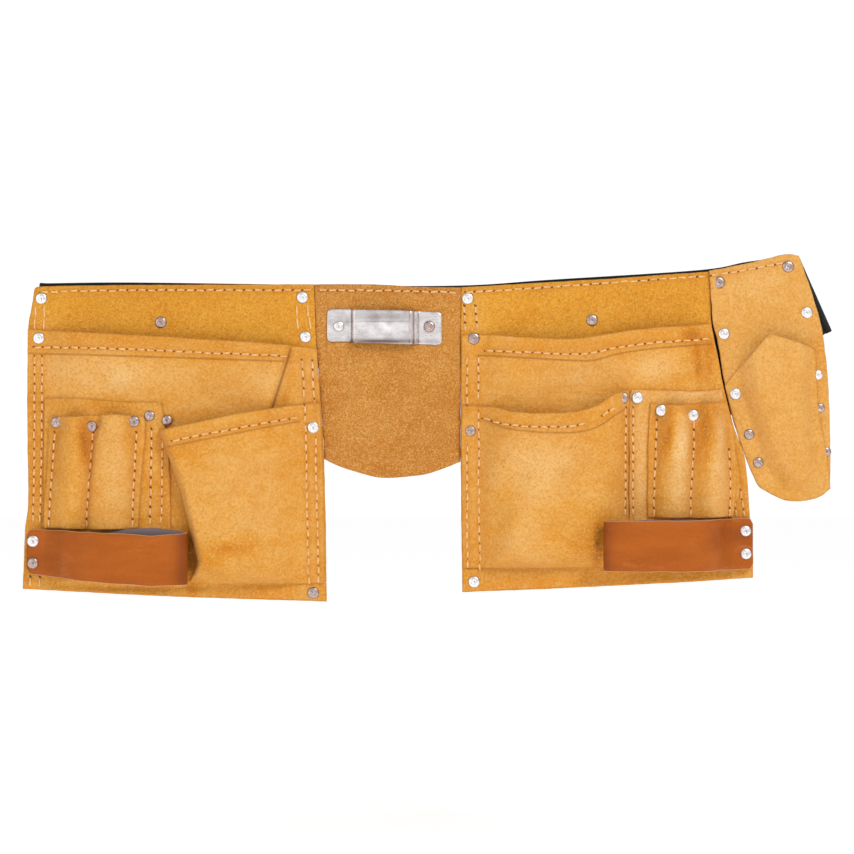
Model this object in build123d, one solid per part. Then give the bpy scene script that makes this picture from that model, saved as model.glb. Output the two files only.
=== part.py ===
"""Double-pouch leather tool belt with a hammer holster, as worn.

Frame: +X to the wearer's left hand as seen from the front, +Z up, and the front of the belt
faces -Y. The origin is the middle of the waist webbing, on the face that lies on the wearer.
Outlines are lists of (x, z) points. A depth is a distance in front of the origin, along -Y.
"""
from build123d import *
import os
from math import atan2, cos, degrees, hypot, radians, sin

os.makedirs("parts", exist_ok=True)

# ---- driving dimensions, millimetres and degrees ----
LEATHER = 2.0
WEBBING = 2.0
WEBBING_WIDTH = 62.0
BACK = 3.0                        # depth of the rear face of every back panel
BASE = BACK + LEATHER             # depth where the pockets stand
UPPER_ROOM = 8.0                  # room inside an upper pocket, front to back
FRONT_ROOM = 12.0                 # room inside a front pocket
HOLSTER_ROOM = 14.0
POCKET_TAPER = 20.0               # slope of the pocket sides
UPPER_FACE = BASE + UPPER_ROOM + LEATHER
LEFT_FRONT_FACE = UPPER_FACE + FRONT_ROOM + LEATHER
RIGHT_FRONT_FACE = LEFT_FRONT_FACE - 2
HINGE_GAP = 1.2                   # half the slit at a leather bend
PANEL_GAP = 1.2                   # air between leather pieces that swing past each other
TUBE_DEPTH = 12.0                 # how far a tool tube stands out
SEAM_HALF = 4.8                   # half the flat strip between two tubes
HAMMER_WIDTH = 37.0
HAMMER_LEATHER = 3.0
HAMMER_OPEN = 16.0                # how far a hammer loop stands open
HAMMER_BEND = 12.6                # from a hammer loop's end to the line where it bends
HAMMER_SLIT = 1.6

RIVET_RADIUS = 4.4
SHANK_RADIUS = 1.6
BURR_RADIUS = 3.0
BURR = 0.7

PLATE = 1.2                       # tape bracket sheet
BRACKET_HEIGHT = 25.0
BRIDGE_ROOM = 5.5                 # gap behind the bracket's bridge

FOLD_RADIUS = 3.5                 # inner radius of the webbing where it turns back
BAR_RADIUS = 2.1
BAR_ROOM = 0.1
BUCKLE_WIDTH = WEBBING_WIDTH + 12
BUCKLE_THICK = 10.0
SOCKET_THICK = 13.0

# ---- places ----
LEFT_HINGE = ((-266.8, 1.5), (-53.3, -14.5))
RIGHT_HINGE = ((54.0, -3.4), (240.0, 1.6))
HOLSTER_HINGE_Z = -11.8
RIGHT_FOLD = ((301.0, 52.6), (325.4, -5.4))
LEFT_FOLD = ((-252.0, 33.0), (-260.6, -29.0))
RIGHT_HEADING = 7.57              # direction of the webbing as it reaches the fold
LEFT_HEADING = 180.0
RIGHT_RUN = 165.0                 # from the fold to the buckle bar
LEFT_RUN = 140.0


# ---- helpers ----
def face_of(outline, corner=0.0):
    """Flat face of an (x, z) outline, with its corners rounded."""
    flat = make_face(Polyline(*outline, close=True))
    return fillet(flat.vertices(), corner) if corner else flat


def push(flat, depth, thick, taper=0.0):
    """Solid of a face of (x, z) points, from depth forwards."""
    placed = Plane.XZ.offset(depth) * flat
    return extrude(placed, amount=thick, dir=(0, -1, 0), taper=taper)


def sheet(outline, depth, thick=LEATHER, corner=0.0):
    return push(face_of(outline, corner), depth, thick)


def drill(shape, places):
    """Shank holes through a leather piece."""
    for x, z in places:
        shape = shape - Pos(x, -20, z) * Rot(90, 0, 0) * Cylinder(SHANK_RADIUS + 0.03, 80)
    return shape


def rivet(x, z, front, back, radius=RIVET_RADIUS):
    """Domed rivet with a dimple, and a burr behind the layers from back to front."""
    burr = min(BURR_RADIUS, radius - 0.8)
    profile = Polyline(
        (radius, -front - 0.4),
        (radius, -front),
        (SHANK_RADIUS, -front),
        (SHANK_RADIUS, -back),
        (burr, -back),
        (burr, BURR - back),
        (0, BURR - back),
        (0, -front - 1.1),
        (0.9, -front - 1.7),
    )
    dome = ThreePointArc((0.9, -front - 1.7), (0.72 * radius, -front - 1.35), (radius, -front - 0.4))
    return Pos(x, 0, z) * revolve(make_face(profile + dome), Axis.Y)


def above(mouth, depth, thick):
    """Everything over a pocket's mouth line, to be cut away."""
    left, right = mouth[0], mouth[-1]
    return sheet([*mouth, (right[0] + 40, right[1]), (right[0] + 40, 120),
                  (left[0] - 40, 120), (left[0] - 40, left[1])], depth, thick)


def pocket(outline, mouth, base, room, taper=POCKET_TAPER):
    """A pocket that stands proud of base, open at its mouth. Returns it and its envelope."""
    flat = face_of(outline, 6)
    inner = offset(flat, -LEATHER)
    envelope = push(flat, base, room + LEATHER, taper) - above(mouth, base - 1, room + 10)
    hollow = push(inner, base, room, taper)
    return envelope - hollow, envelope, hollow


def save(name, *shapes):
    """One STEP file, of one solid or of a group of separate ones."""
    export_step(shapes[0] if len(shapes) == 1 else Compound(children=list(shapes)),
                f"parts/{name}.step")


def unit(degrees_):
    return cos(radians(degrees_)), sin(radians(degrees_))


# ---- waist webbing ----
webbing_edges = (
    Spline(LEFT_FOLD[0], (-195, 32.8), (-100, 31.6), (-30, 30.4), (56, 30.4), (120, 34.2),
           (231, 41.4), RIGHT_FOLD[0])
    + Line(RIGHT_FOLD[0], RIGHT_FOLD[1])
    + Spline(RIGHT_FOLD[1], (231, -20.5), (120, -28), (0, -31.5), (-150, -28.5), LEFT_FOLD[1])
    + Line(LEFT_FOLD[1], LEFT_FOLD[0])
)
CORNER_RIVET = [(-257.5, 20.7)]    # at the webbing's turn, so it holds the leather alone
BAND_RIVETS_LEFT = [(-63.6, 21.5), (-168.7, 3.0), (-61.4, -8.0)]
BAND_RIVETS_RIGHT = [(59.1, 20.7), (151.4, 5.1)]
HOLSTER_TOP_RIVETS = [(246.5, 32.6), (249.5, -5.4), (297.0, 44.4), (310.8, 10.1)]
BRACKET_RIVETS = [(-36.5, 0.1), (30.6, -0.2)]
root_rivets = BAND_RIVETS_LEFT + BAND_RIVETS_RIGHT + HOLSTER_TOP_RIVETS + BRACKET_RIVETS
save("waist_webbing", drill(push(make_face(webbing_edges), 0, WEBBING), root_rivets))

# ---- bands: the part of each back panel that is riveted to the webbing ----
(left_x, left_z), (left_in_x, left_in_z) = LEFT_HINGE
(right_in_x, right_in_z), (right_x, right_z) = RIGHT_HINGE
left_band = [(left_x, left_z + HINGE_GAP), (-262.0, 27.2), (-259.7, 29.0), (-195, 30.6),
             (-100, 31.0), (-54.8, 31.2), (left_in_x - 0.1, left_in_z + HINGE_GAP)]
right_band = [(54.4, 29.0), (79, 30.3), (120, 32.8), (161, 35.0), (239.0, 40.6),
              (right_x - 1, right_z + HINGE_GAP), (right_in_x, right_in_z + HINGE_GAP)]
save("left_band", drill(sheet(left_band, BACK), BAND_RIVETS_LEFT + CORNER_RIVET))
save("right_band", drill(sheet(right_band, BACK), BAND_RIVETS_RIGHT))
save("band_rivets", *[rivet(x, z, BASE, 0) for x, z in BAND_RIVETS_LEFT + BAND_RIVETS_RIGHT],
     *[rivet(x, z, BASE, BACK) for x, z in CORNER_RIVET])

# ---- centre panel with a rounded lower edge ----
centre_edges = (
    Polyline((-47.0, -98.4), (-49.8, -40), (-52.0, -10.4), (-53.4, 31.0), (0, 30.7), (25, 29.3),
             (53.0, 29.0), (52.8, -10), (52.6, -100.9))
    + ThreePointArc((52.6, -100.9), (1.5, -112.5), (-47.0, -98.4))
)
save("centre_panel", drill(push(make_face(centre_edges), BACK, LEATHER), BRACKET_RIVETS))

# ---- tape bracket: a strip with a raised bridge that a tape measure's clip hangs on ----
low, high = BASE, BASE + BRIDGE_ROOM
bracket_back = [(-44.9, low), (-26.2, low), (-25.0, high), (14.6, high), (21.6, low), (39.8, low)]
bracket_front = [(-44.9, low + PLATE), (-27.2, low + PLATE), (-26.2, high + PLATE),
                 (15.0, high + PLATE), (22.2, low + PLATE), (39.8, low + PLATE)]
bracket_plan = Plane.XY * make_face(
    Polyline(*[(x, -d) for x, d in bracket_back + bracket_front[::-1]], close=True))
bracket = Pos(0, 0, -BRACKET_HEIGHT / 2) * extrude(bracket_plan, amount=BRACKET_HEIGHT)
save("tape_bracket", drill(bracket, BRACKET_RIVETS))
save("bracket_rivets", *[rivet(x, z, BASE + PLATE, 0, 4.0) for x, z in BRACKET_RIVETS])


# ---- pouches ----
def arch(a, b, base, height):
    """Section of a tool tube: straight sides and a front with rounded corners."""
    flat = Pos((a + b) / 2, base + height / 2) * Rectangle(b - a, height)
    return fillet(flat.vertices().sort_by(Axis.Y)[-2:], 0.3 * (b - a))


def tool_tubes(columns, top, height, lean):
    """A leather strip stitched down at its columns, arched into a tube between them."""
    base = UPPER_FACE + LEATHER
    first, last = columns[0] - SEAM_HALF, columns[-1] + SEAM_HALF
    profile = Pos((first + last) / 2, base + LEATHER / 2) * Rectangle(last - first, LEATHER)
    for a, b in zip(columns, columns[1:]):
        profile = profile + arch(a + SEAM_HALF, b - SEAM_HALF, base, TUBE_DEPTH)
    for a, b in zip(columns, columns[1:]):
        inset = SEAM_HALF + LEATHER
        profile = profile - arch(a + inset, b - inset, base, TUBE_DEPTH - LEATHER)
    plan = Plane(origin=(0, 0, top), x_dir=(1, 0, 0), z_dir=(0, 0, -1))
    return extrude(plan * profile, amount=height, dir=(lean, 0, -height))


def hammer_loop(end, fold, back_line, top):
    """A folded strap, open at its fold, with both layers riveted together at its end.

    It bends beside the rivets, so it is returned as the riveted tab and the part that swings.
    """
    side = 1 if fold > end else -1
    foot, front_line = BASE + LEATHER, back_line + HAMMER_OPEN
    outline = [(end, foot), (end, foot + 2 * HAMMER_LEATHER),
               (end + side * 16, foot + 2 * HAMMER_LEATHER), (end + side * 35, front_line),
               (fold, front_line), (fold, back_line), (end + side * 28, back_line),
               (end + side * 15, foot)]
    inner_front, inner_fold = front_line - HAMMER_LEATHER, fold - side * HAMMER_LEATHER
    room = [(end + side * 29, back_line + HAMMER_LEATHER), (end + side * 37, inner_front),
            (inner_fold, inner_front), (inner_fold, back_line + HAMMER_LEATHER)]
    outer = make_face(FilletPolyline(*outline, radius=[0.4, 0.4, 4, 9, 7, 7, 9, 3], close=True))
    inner = make_face(FilletPolyline(*room, radius=[0.3, 5, 4, 4], close=True))
    plan = Plane(origin=(0, 0, top), x_dir=(1, 0, 0), z_dir=(0, 0, -1))
    strap = extrude(plan * (outer - inner), amount=HAMMER_WIDTH, dir=(0, 0, -1))
    bend = end + side * HAMMER_BEND
    tab_side = Pos(bend - side * (50 + HAMMER_SLIT), 0, 0) * Box(100, 200, 500)
    loop_side = Pos(bend + side * (100 + HAMMER_SLIT), 0, 0) * Box(200, 200, 500)
    return strap & tab_side, strap & loop_side


# left pouch
LEFT_RIM_RIVETS = [(-259.2, -8.9), (-55.5, -75.1), (-55.5, -197.6)]
LEFT_TUBE_RIVETS = [(-245.8, -71.5), (-217.0, -74.0), (-186.0, -70.2)]
LEFT_PATCH_RIVETS = [(-175.9, -66.4)]
LEFT_LOOP_RIVETS = LEFT_TUBE_RIVETS + LEFT_PATCH_RIVETS
LEFT_HAMMER_RIVETS = [(-262.7, -159.1), (-263.1, -175.4)]
left_panel = [(left_x, left_z - HINGE_GAP), (-266.8, -128.8), (-268.6, -151.0), (-270.8, -194.6),
              (-168.7, -200.5), (-45.5, -204.2), (-48.1, -84.4), (-51.1, -40.0),
              (left_in_x, left_in_z - HINGE_GAP)]
left_mouth = [(-272.0, -2.5), (-168.7, -8.4), (-94.7, -13.2), (-67.3, -15.3), (-45.0, -17.0)]
left_bulge = [(-254.0, 30), (-254.0, -138), (-243.0, -149), (-243.0, -191.0), (-168.7, -193.5),
              (-66, -190.6), (-66, 30)]
upper, left_envelope, left_hollow = pocket(left_bulge, left_mouth, BASE, UPPER_ROOM)
flange = sheet(left_panel, BASE) - above(left_mouth, BASE - 1, 5)
upper = flange + upper - left_hollow
left_through = LEFT_RIM_RIVETS + LEFT_HAMMER_RIVETS
save("left_back_panel", drill(sheet(left_panel, BACK), left_through))
save("left_upper_pocket", drill(upper, left_through + LEFT_LOOP_RIVETS))

left_front_mouth = [(-175, -77.6), (-168.7, -76.4), (-116.9, -65.9), (-63.2, -57.6), (-60, -57)]
left_front = [(-172.0, -50), (-168.7, -77.3), (-144.0, -169.1), (-145.0, -186.0), (-68.0, -187.0),
              (-64.5, -120), (-63.2, -40)]
front, _, _ = pocket(left_front, left_front_mouth, BASE + LEATHER,
                     LEFT_FRONT_FACE - BASE - 2 * LEATHER)
save("left_front_pocket", front - left_envelope)

left_backing = [(-249.5, -53.4), (-172.5, -56.1), (-150.5, -150), (-149, -186.5), (-238.5, -186.5),
                (-238.5, -148), (-249.5, -138)]
save("left_tool_backing", drill(sheet(left_backing, UPPER_FACE), LEFT_LOOP_RIVETS))
left_tubes = tool_tubes(columns=[-245.6, -216.9, -185.6], top=-66.5, height=80.0, lean=-4.0)
save("left_tool_tubes", drill(left_tubes, LEFT_LOOP_RIVETS))
save("left_pouch_rivets",
     *[rivet(x, z, BASE + LEATHER, BACK) for x, z in LEFT_RIM_RIVETS],
     *[rivet(x, z, UPPER_FACE + 2 * LEATHER, UPPER_FACE - LEATHER) for x, z in LEFT_TUBE_RIVETS],
     *[rivet(x, z, UPPER_FACE + LEATHER, UPPER_FACE - LEATHER) for x, z in LEFT_PATCH_RIVETS])
tab, loop = hammer_loop(end=-269.4, fold=-149.5, back_line=UPPER_FACE + LEATHER + 1.5, top=-150.2)
save("left_hammer_tab", drill(tab, LEFT_HAMMER_RIVETS))
save("left_hammer_loop", loop)

# right pouch
RIGHT_RIM_RIVETS = [(63.6, -9.2), (61.2, -77.6), (63.6, -189.6)]
RIGHT_TUBE_RIVETS = [(200.8, -62.8), (224.8, -65.6)]
RIGHT_PATCH_RIVETS = [(184.6, -52.8)]
RIGHT_LOOP_RIVETS = RIGHT_TUBE_RIVETS + RIGHT_PATCH_RIVETS
RIGHT_HAMMER_RIVETS = [(264.4, -151.5), (264.6, -168.4)]
right_panel = [(right_in_x, right_in_z - HINGE_GAP), (right_x - 1, right_z - HINGE_GAP),
               (246.2, -45), (253.8, -76), (260.2, -99), (267.0, -144), (270.8, -186.5),
               (171.7, -192.3), (55.1, -197.2)]
right_mouth = [(50, -7.4), (76.2, -7.4), (112.5, -9.2), (142.8, -9.2), (161.3, -6.4), (198.3, -2.6),
               (217.6, -1.6), (244, -0.6)]
right_bulge = [(69.5, 30), (69.5, -180.0), (171.7, -179.0), (252.0, -178.0), (252.0, -138),
               (257.0, -122), (255.0, -99), (248.5, -76), (240.4, -45), (233.0, 0), (231, 30)]
upper, right_envelope, right_hollow = pocket(right_bulge, right_mouth, BASE, UPPER_ROOM)
flange = sheet(right_panel, BASE) - above(right_mouth, BASE - 1, 5)
upper = flange + upper - right_hollow
right_through = RIGHT_RIM_RIVETS + RIGHT_HAMMER_RIVETS
save("right_back_panel", drill(sheet(right_panel, BACK), right_through))
save("right_upper_pocket", drill(upper, right_through + RIGHT_LOOP_RIVETS))

right_front_mouth = [(60, -59.9), (80.7, -59.9), (91.0, -62.9), (136.9, -62.9), (152.4, -59.2),
                     (163.5, -51.8), (181, -47.5)]
right_front = [(69.2, -30), (69.2, -178), (177.6, -178), (177.6, -30)]
front, _, _ = pocket(right_front, right_front_mouth, BASE + LEATHER,
                     RIGHT_FRONT_FACE - BASE - 2 * LEATHER)
save("right_front_pocket", front - right_envelope)

right_backing = [(179.0, -46.9), (240.0, -46.4), (248.0, -78), (253, -110), (253, -124),
                 (246.5, -139), (246.5, -174), (179.0, -174)]
save("right_tool_backing", drill(sheet(right_backing, UPPER_FACE), RIGHT_LOOP_RIVETS))
right_tubes = tool_tubes(columns=[200.8, 224.8, 246.4], top=-57.0, height=82.0, lean=-1.0)
save("right_tool_tubes", drill(right_tubes, RIGHT_LOOP_RIVETS))
save("right_pouch_rivets",
     *[rivet(x, z, BASE + LEATHER, BACK) for x, z in RIGHT_RIM_RIVETS],
     *[rivet(x, z, UPPER_FACE + 2 * LEATHER, UPPER_FACE - LEATHER) for x, z in RIGHT_TUBE_RIVETS],
     *[rivet(x, z, UPPER_FACE + LEATHER, UPPER_FACE - LEATHER) for x, z in RIGHT_PATCH_RIVETS])
tab, loop = hammer_loop(end=269.6, fold=160.6, back_line=RIGHT_FRONT_FACE + 1.0, top=-142.4)
save("right_hammer_tab", drill(tab, RIGHT_HAMMER_RIVETS))
save("right_hammer_loop", loop)

HAMMER_STACK = BASE + LEATHER + 2 * HAMMER_LEATHER
for side, places in (("left", LEFT_HAMMER_RIVETS), ("right", RIGHT_HAMMER_RIVETS)):
    save(f"{side}_hammer_loop_rivets", *[rivet(x, z, HAMMER_STACK, BACK, 3.8) for x, z in places])

# ---- hammer holster: back leather riveted to the webbing, and a pocket that flares open ----
HOLSTER_RIVETS = [(258.2, -50.5), (268.0, -80.2), (274.6, -100.6), (319.9, -36.1), (321.8, -60.7),
                  (325.0, -93.2)]
holster_top = [(240.8, 40.9), (294.1, 53.3), (305.4, 52.6), (315.8, 21.8), (323.2, -7.0),
               (323.6, HOLSTER_HINGE_Z + HINGE_GAP), (243.8, HOLSTER_HINGE_Z + HINGE_GAP),
               (241.2, 5.3)]
holster_back = [(245.0, HOLSTER_HINGE_Z - HINGE_GAP), (324.0, HOLSTER_HINGE_Z - HINGE_GAP),
                (327.1, -47.8), (328.2, -88.1), (328.2, -120.4), (320.4, -126.5), (305.3, -129.9),
                (293.6, -128.8), (281.1, -122.8), (274.4, -116.9), (265.6, -98.9), (258.2, -76.2),
                (250.4, -43.7)]
holster_mouth = [(246.4, -47.5), (281.9, -5.8), (313.4, -15.5), (317.5, -18.8), (330, -29)]
holster_flange = [(250.4, -43.7), (281.9, 0), (316.9, -5), (317.7, -38.9), (320.6, -70.3),
                  (325.2, -92.5), (327.6, -119.8), (320.2, -125.9), (305.3, -129.3),
                  (293.6, -128.2), (281.4, -122.4), (274.8, -116.6), (266.0, -98.8), (258.6, -76.2)]
holster_bulge = [(262.0, 20), (262.0, -50), (272.0, -80), (280.5, -108), (293, -121), (317, -121),
                 (315.5, -90), (312.0, -20), (312, 20)]
bulge, _, holster_hollow = pocket(holster_bulge, holster_mouth, BASE, HOLSTER_ROOM, 25)
flange = sheet(holster_flange, BASE) - above(holster_mouth, BASE - 1, 5)
left_rivets, right_rivets = HOLSTER_RIVETS[:3], HOLSTER_RIVETS[3:]
save("holster_top", drill(sheet(holster_top, BACK), HOLSTER_TOP_RIVETS))
save("holster_top_rivets", *[rivet(x, z, BASE, 0) for x, z in HOLSTER_TOP_RIVETS])
save("holster_back", drill(sheet(holster_back, BACK), HOLSTER_RIVETS))
save("holster_front", drill(flange + bulge - holster_hollow, HOLSTER_RIVETS))
save("holster_rivets", *[rivet(x, z, BASE + LEATHER, BACK, 3.4) for x, z in left_rivets],
     *[rivet(x, z, BASE + LEATHER, BACK, 2.6) for x, z in right_rivets])


# ---- strap tails: the webbing turns back behind each pouch and carries half of the buckle ----
TAIL = 2 * FOLD_RADIUS                        # distance behind the origin of a tail's front face
BAR = TAIL + WEBBING + BAR_RADIUS + BAR_ROOM  # the buckle bar's, behind the tail's first layer
WRAP = BAR_RADIUS + BAR_ROOM


def fold_turn(fold):
    """The half round of webbing from the waist layer to the tail."""
    (x1, z1), (x2, z2) = fold
    length = hypot(x2 - x1, z2 - z1)
    along = Vector((x2 - x1) / length, 0, (z2 - z1) / length)
    out = Vector(-along.Z, 0, along.X)
    out = out if out.X * x1 > 0 else -out
    plane = Plane(origin=(x1, FOLD_RADIUS, z1), x_dir=out, z_dir=along)
    ring = Circle(FOLD_RADIUS + WEBBING) - Circle(FOLD_RADIUS)
    half = ring & Pos(20, 0) * Rectangle(40, 40)
    return extrude(plane * half, amount=length)


def tail_plane(fold, heading):
    """Local frame of a tail: x along the strap, z backwards from the origin's face."""
    (x1, z1), (x2, z2) = fold
    slope = degrees(atan2(z2 - z1, x2 - x1))
    tx, tz = unit(2 * slope - heading)
    return Plane(origin=((x1 + x2) / 2, 0, (z1 + z2) / 2), x_dir=(tx, 0, tz), z_dir=(0, 1, 0))


def block(a, b, half_width, near, far, middle=0.0):
    """Box from a to b along the tail, at distances near to far behind the origin."""
    return Pos((a + b) / 2, middle, (near + far) / 2) * Box(b - a, 2 * half_width, far - near)


def strap_tail(plane, fold, run, back_run):
    """First layer, the turn round the bar and the layer that comes back."""
    corners = [plane.to_local_coords(Vector(x, 0, z)) for x, z in fold]
    corners.sort(key=lambda c: c.Y)
    half = WEBBING_WIDTH / 2
    first = make_face(Polyline((corners[0].X, corners[0].Y), (run, -half), (run, half),
                               (corners[1].X, corners[1].Y), close=True))
    layer = extrude(Pos(0, 0, TAIL) * first, amount=WEBBING)
    turn = Circle(WRAP + WEBBING) - Circle(WRAP)
    turn = turn & Pos(20, 0) * Rectangle(40, 40)
    side = Plane(origin=(run, half, BAR), x_dir=(1, 0, 0), z_dir=(0, -1, 0))
    turn = extrude(side * turn, amount=WEBBING_WIDTH)
    second = block(run - back_run, run, half, BAR + WRAP, BAR + WRAP + WEBBING)
    return plane * (layer + turn + second)


def buckle_bar(run):
    bar = Cylinder(BAR_RADIUS, BUCKLE_WIDTH - 2)
    return Pos(run, 0, BAR) * Rot(90, 0, 0) * bar


def buckle_frame(run, length, thick):
    """Frame with a window that the webbing passes through, round the bar."""
    low, high = BAR - thick / 2, BAR + thick / 2
    window = block(run - 20, run + 7.5, WEBBING_WIDTH / 2 + 1.5, low - 1, high + 1)
    frame = block(run - 5, run + length, BUCKLE_WIDTH / 2, low, high)
    return frame - window + buckle_bar(run)


right_plane = tail_plane(RIGHT_FOLD, RIGHT_HEADING)
left_plane = tail_plane(LEFT_FOLD, LEFT_HEADING)
save("right_strap_fold", fold_turn(RIGHT_FOLD))
save("left_strap_fold", fold_turn(LEFT_FOLD))
save("right_strap_tail", strap_tail(right_plane, RIGHT_FOLD, RIGHT_RUN, 90))
save("left_strap_tail", strap_tail(left_plane, LEFT_FOLD, LEFT_RUN, 45))

# plug half: frame, a middle guide and two springy prongs
PLUG_FRAME = 18.0                 # length of the plug's frame, from its bar
GUIDE_END = 46.0
PRONG_ROOT = 22.4
PRONG_LENGTH = 28.0
PRONG_OFFSET = 27.0               # from the middle of the plug to the middle of a prong
BARB = (16.0, 26.0, 5.0)          # start and end along the prong, and how far it stands out
guide = block(RIGHT_RUN + PLUG_FRAME - 1, RIGHT_RUN + GUIDE_END, 6, BAR - 2.5, BAR + 2.5)
save("buckle_plug", right_plane * (buckle_frame(RIGHT_RUN, PLUG_FRAME, BUCKLE_THICK) + guide))
root_at = RIGHT_RUN + PRONG_ROOT
for name, side in (("buckle_prong_upper", 1), ("buckle_prong_lower", -1)):
    middle = side * PRONG_OFFSET
    arm = block(root_at, root_at + PRONG_LENGTH, 3.2, BAR - 3, BAR + 3, middle)
    barb = block(root_at + BARB[0], root_at + BARB[1], 2.4, BAR - 3, BAR + 3,
                 middle + side * BARB[2])
    root = Pos(root_at, middle, BAR) * Cylinder(4, 6)
    save(name, right_plane * (arm + barb + root))

# keeper: a loop round both layers of the adjustable tail
KEEPER = RIGHT_RUN - 62           # its place along the tail
KEEPER_HALF = 6.0
KEEPER_WALL = 1.2
KEEPER_ROOM = 0.6                 # play between the keeper and the webbing, front and back
inner_low, inner_high = TAIL - KEEPER_ROOM, BAR + WRAP + WEBBING + KEEPER_ROOM
outer_ring = block(KEEPER - KEEPER_HALF, KEEPER + KEEPER_HALF, WEBBING_WIDTH / 2 + 4,
                   inner_low - KEEPER_WALL, inner_high + KEEPER_WALL)
inner_ring = block(KEEPER - KEEPER_HALF - 1, KEEPER + KEEPER_HALF + 1, WEBBING_WIDTH / 2 + 1,
                   inner_low, inner_high)
save("strap_keeper", right_plane * (outer_ring - inner_ring))

# socket half: a shell that the plug's prongs snap into through side windows
SOCKET_LENGTH = 50.0
SOCKET_ROOM = 3.9                 # half the depth of the room for the plug
socket = buckle_frame(LEFT_RUN, SOCKET_LENGTH, SOCKET_THICK)
low, high = BAR - SOCKET_ROOM, BAR + SOCKET_ROOM
room = block(LEFT_RUN + 14, LEFT_RUN + SOCKET_LENGTH + 1, 33.5, low, high)
windows = block(LEFT_RUN + 26, LEFT_RUN + 37, BUCKLE_WIDTH, low, high)
save("buckle_socket", left_plane * (socket - room - windows))
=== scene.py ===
"""Double-pouch suede tool belt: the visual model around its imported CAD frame.

Shapes are written in millimetres, as (x, z) points seen from the front. A depth is a distance in
front of the waist webbing's rear face, so a point's place in metres is (x, -depth, z) / 1000.
"""
import math

import bpy
import numpy as np
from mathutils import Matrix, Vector
from mathutils.geometry import delaunay_2d_cdt


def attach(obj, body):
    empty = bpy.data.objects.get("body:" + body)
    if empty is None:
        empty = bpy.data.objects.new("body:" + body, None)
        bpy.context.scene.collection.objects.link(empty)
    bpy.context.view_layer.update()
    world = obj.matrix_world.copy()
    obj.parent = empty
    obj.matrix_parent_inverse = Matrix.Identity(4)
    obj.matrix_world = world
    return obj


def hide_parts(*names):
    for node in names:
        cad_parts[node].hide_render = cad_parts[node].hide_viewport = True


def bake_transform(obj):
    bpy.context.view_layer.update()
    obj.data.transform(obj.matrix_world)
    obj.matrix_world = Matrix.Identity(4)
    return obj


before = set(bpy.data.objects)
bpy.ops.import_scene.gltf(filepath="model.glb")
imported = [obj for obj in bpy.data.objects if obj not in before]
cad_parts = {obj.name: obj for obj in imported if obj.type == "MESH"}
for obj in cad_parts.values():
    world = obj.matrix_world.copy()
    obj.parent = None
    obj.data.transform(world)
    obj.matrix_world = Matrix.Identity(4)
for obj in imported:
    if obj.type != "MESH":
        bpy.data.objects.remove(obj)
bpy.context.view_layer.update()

MM = 0.001
LEATHER = 1.8            # thickness of the suede
EDGE_ROUND = 0.55        # how far a cut edge is rounded
GAP = 0.05               # between one piece of leather and the next
ROW_SPACING = 0.87       # of a grid of even triangles, against its step
EDGE_FADE, SEAM_FADE, CREASE_SHADE_FADE = 1.2, 2.2, 0.6
CREASE_LINES = (-1.0, -0.35, 0.35, 1.0)  # vertices beside a crease
random = np.random.default_rng(7)


# ---------------------------------------------------------------- outlines
def run(*points, step=1.7):
    """Smooth open curve through points, resampled about every step."""
    p = np.array(points, float)
    if len(p) == 2:
        dense = np.linspace(p[0], p[1], 40)
    else:
        ends = np.vstack([2 * p[0] - p[1], p, 2 * p[-1] - p[-2]])
        t = np.linspace(0, 1, 24, endpoint=False)[:, None]
        spans = []
        for a, b, c, d in zip(ends, ends[1:], ends[2:], ends[3:]):
            spans.append(0.5 * (2 * b + (c - a) * t + (2 * a - 5 * b + 4 * c - d) * t ** 2
                                + (3 * b - a - 3 * c + d) * t ** 3))
        dense = np.vstack([*spans, p[-1:]])
    return resample(dense, step)


def resample(points, step):
    """The same curve, with its points evenly spaced along it."""
    lengths = np.hypot(*np.diff(points, axis=0).T)
    along = np.concatenate([[0], np.cumsum(lengths)])
    count = max(2, int(round(along[-1] / step)) + 1)
    wanted = np.linspace(0, along[-1], count)
    return np.column_stack([np.interp(wanted, along, points[:, k]) for k in (0, 1)])


def loop(*sides):
    """Closed outline, anticlockwise. A side is a run, or points that go on from the side before."""
    runs, corner = [], sides[-1][-1]
    for side in sides:
        runs.append(side if isinstance(side, np.ndarray) else run(corner, *side))
        corner = side[-1]
    points = np.vstack([r[:-1] for r in runs])
    x, z = points.T
    area = np.sum(x * np.roll(z, -1) - np.roll(x, -1) * z)
    return points if area > 0 else points[::-1]


def closed(points):
    return np.vstack([points, points[:1]])


def beside(line, offset):
    """An open line moved sideways, to the right of its direction, at an even spacing."""
    line = resample(line, 1.4)
    slope = np.gradient(line, axis=0)
    slope /= np.hypot(*slope.T)[:, None]
    return line + offset * np.column_stack([slope[:, 1], -slope[:, 0]])


def inset(points, distance):
    """Outline moved inwards."""
    tangent = np.roll(points, -1, axis=0) - np.roll(points, 1, axis=0)
    normal = np.column_stack([-tangent[:, 1], tangent[:, 0]])
    return points + distance * normal / np.linalg.norm(normal, axis=1)[:, None]


def rough_cut(points, amount):
    """A hand-cut edge is never quite straight."""
    n = len(points)
    t = np.arange(n) / n * 2 * np.pi
    wave = sum(np.sin(t * round(n / period) + random.uniform(0, 6.3)) / 3
               for period in (7, 11, 19, 31))
    return points + (inset(points, 1) - points) * (amount * wave)[:, None]


def inside(points, outline):
    x, z = points[:, :1], points[:, 1:]
    ax, az = outline.T
    bx, bz = np.roll(outline, -1, axis=0).T
    crosses = (az > z) != (bz > z)
    with np.errstate(divide="ignore", invalid="ignore"):
        reach = (bx - ax) * (z - az) / (bz - az) + ax
    return (crosses & (x < reach)).sum(axis=1) % 2 == 1


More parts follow.
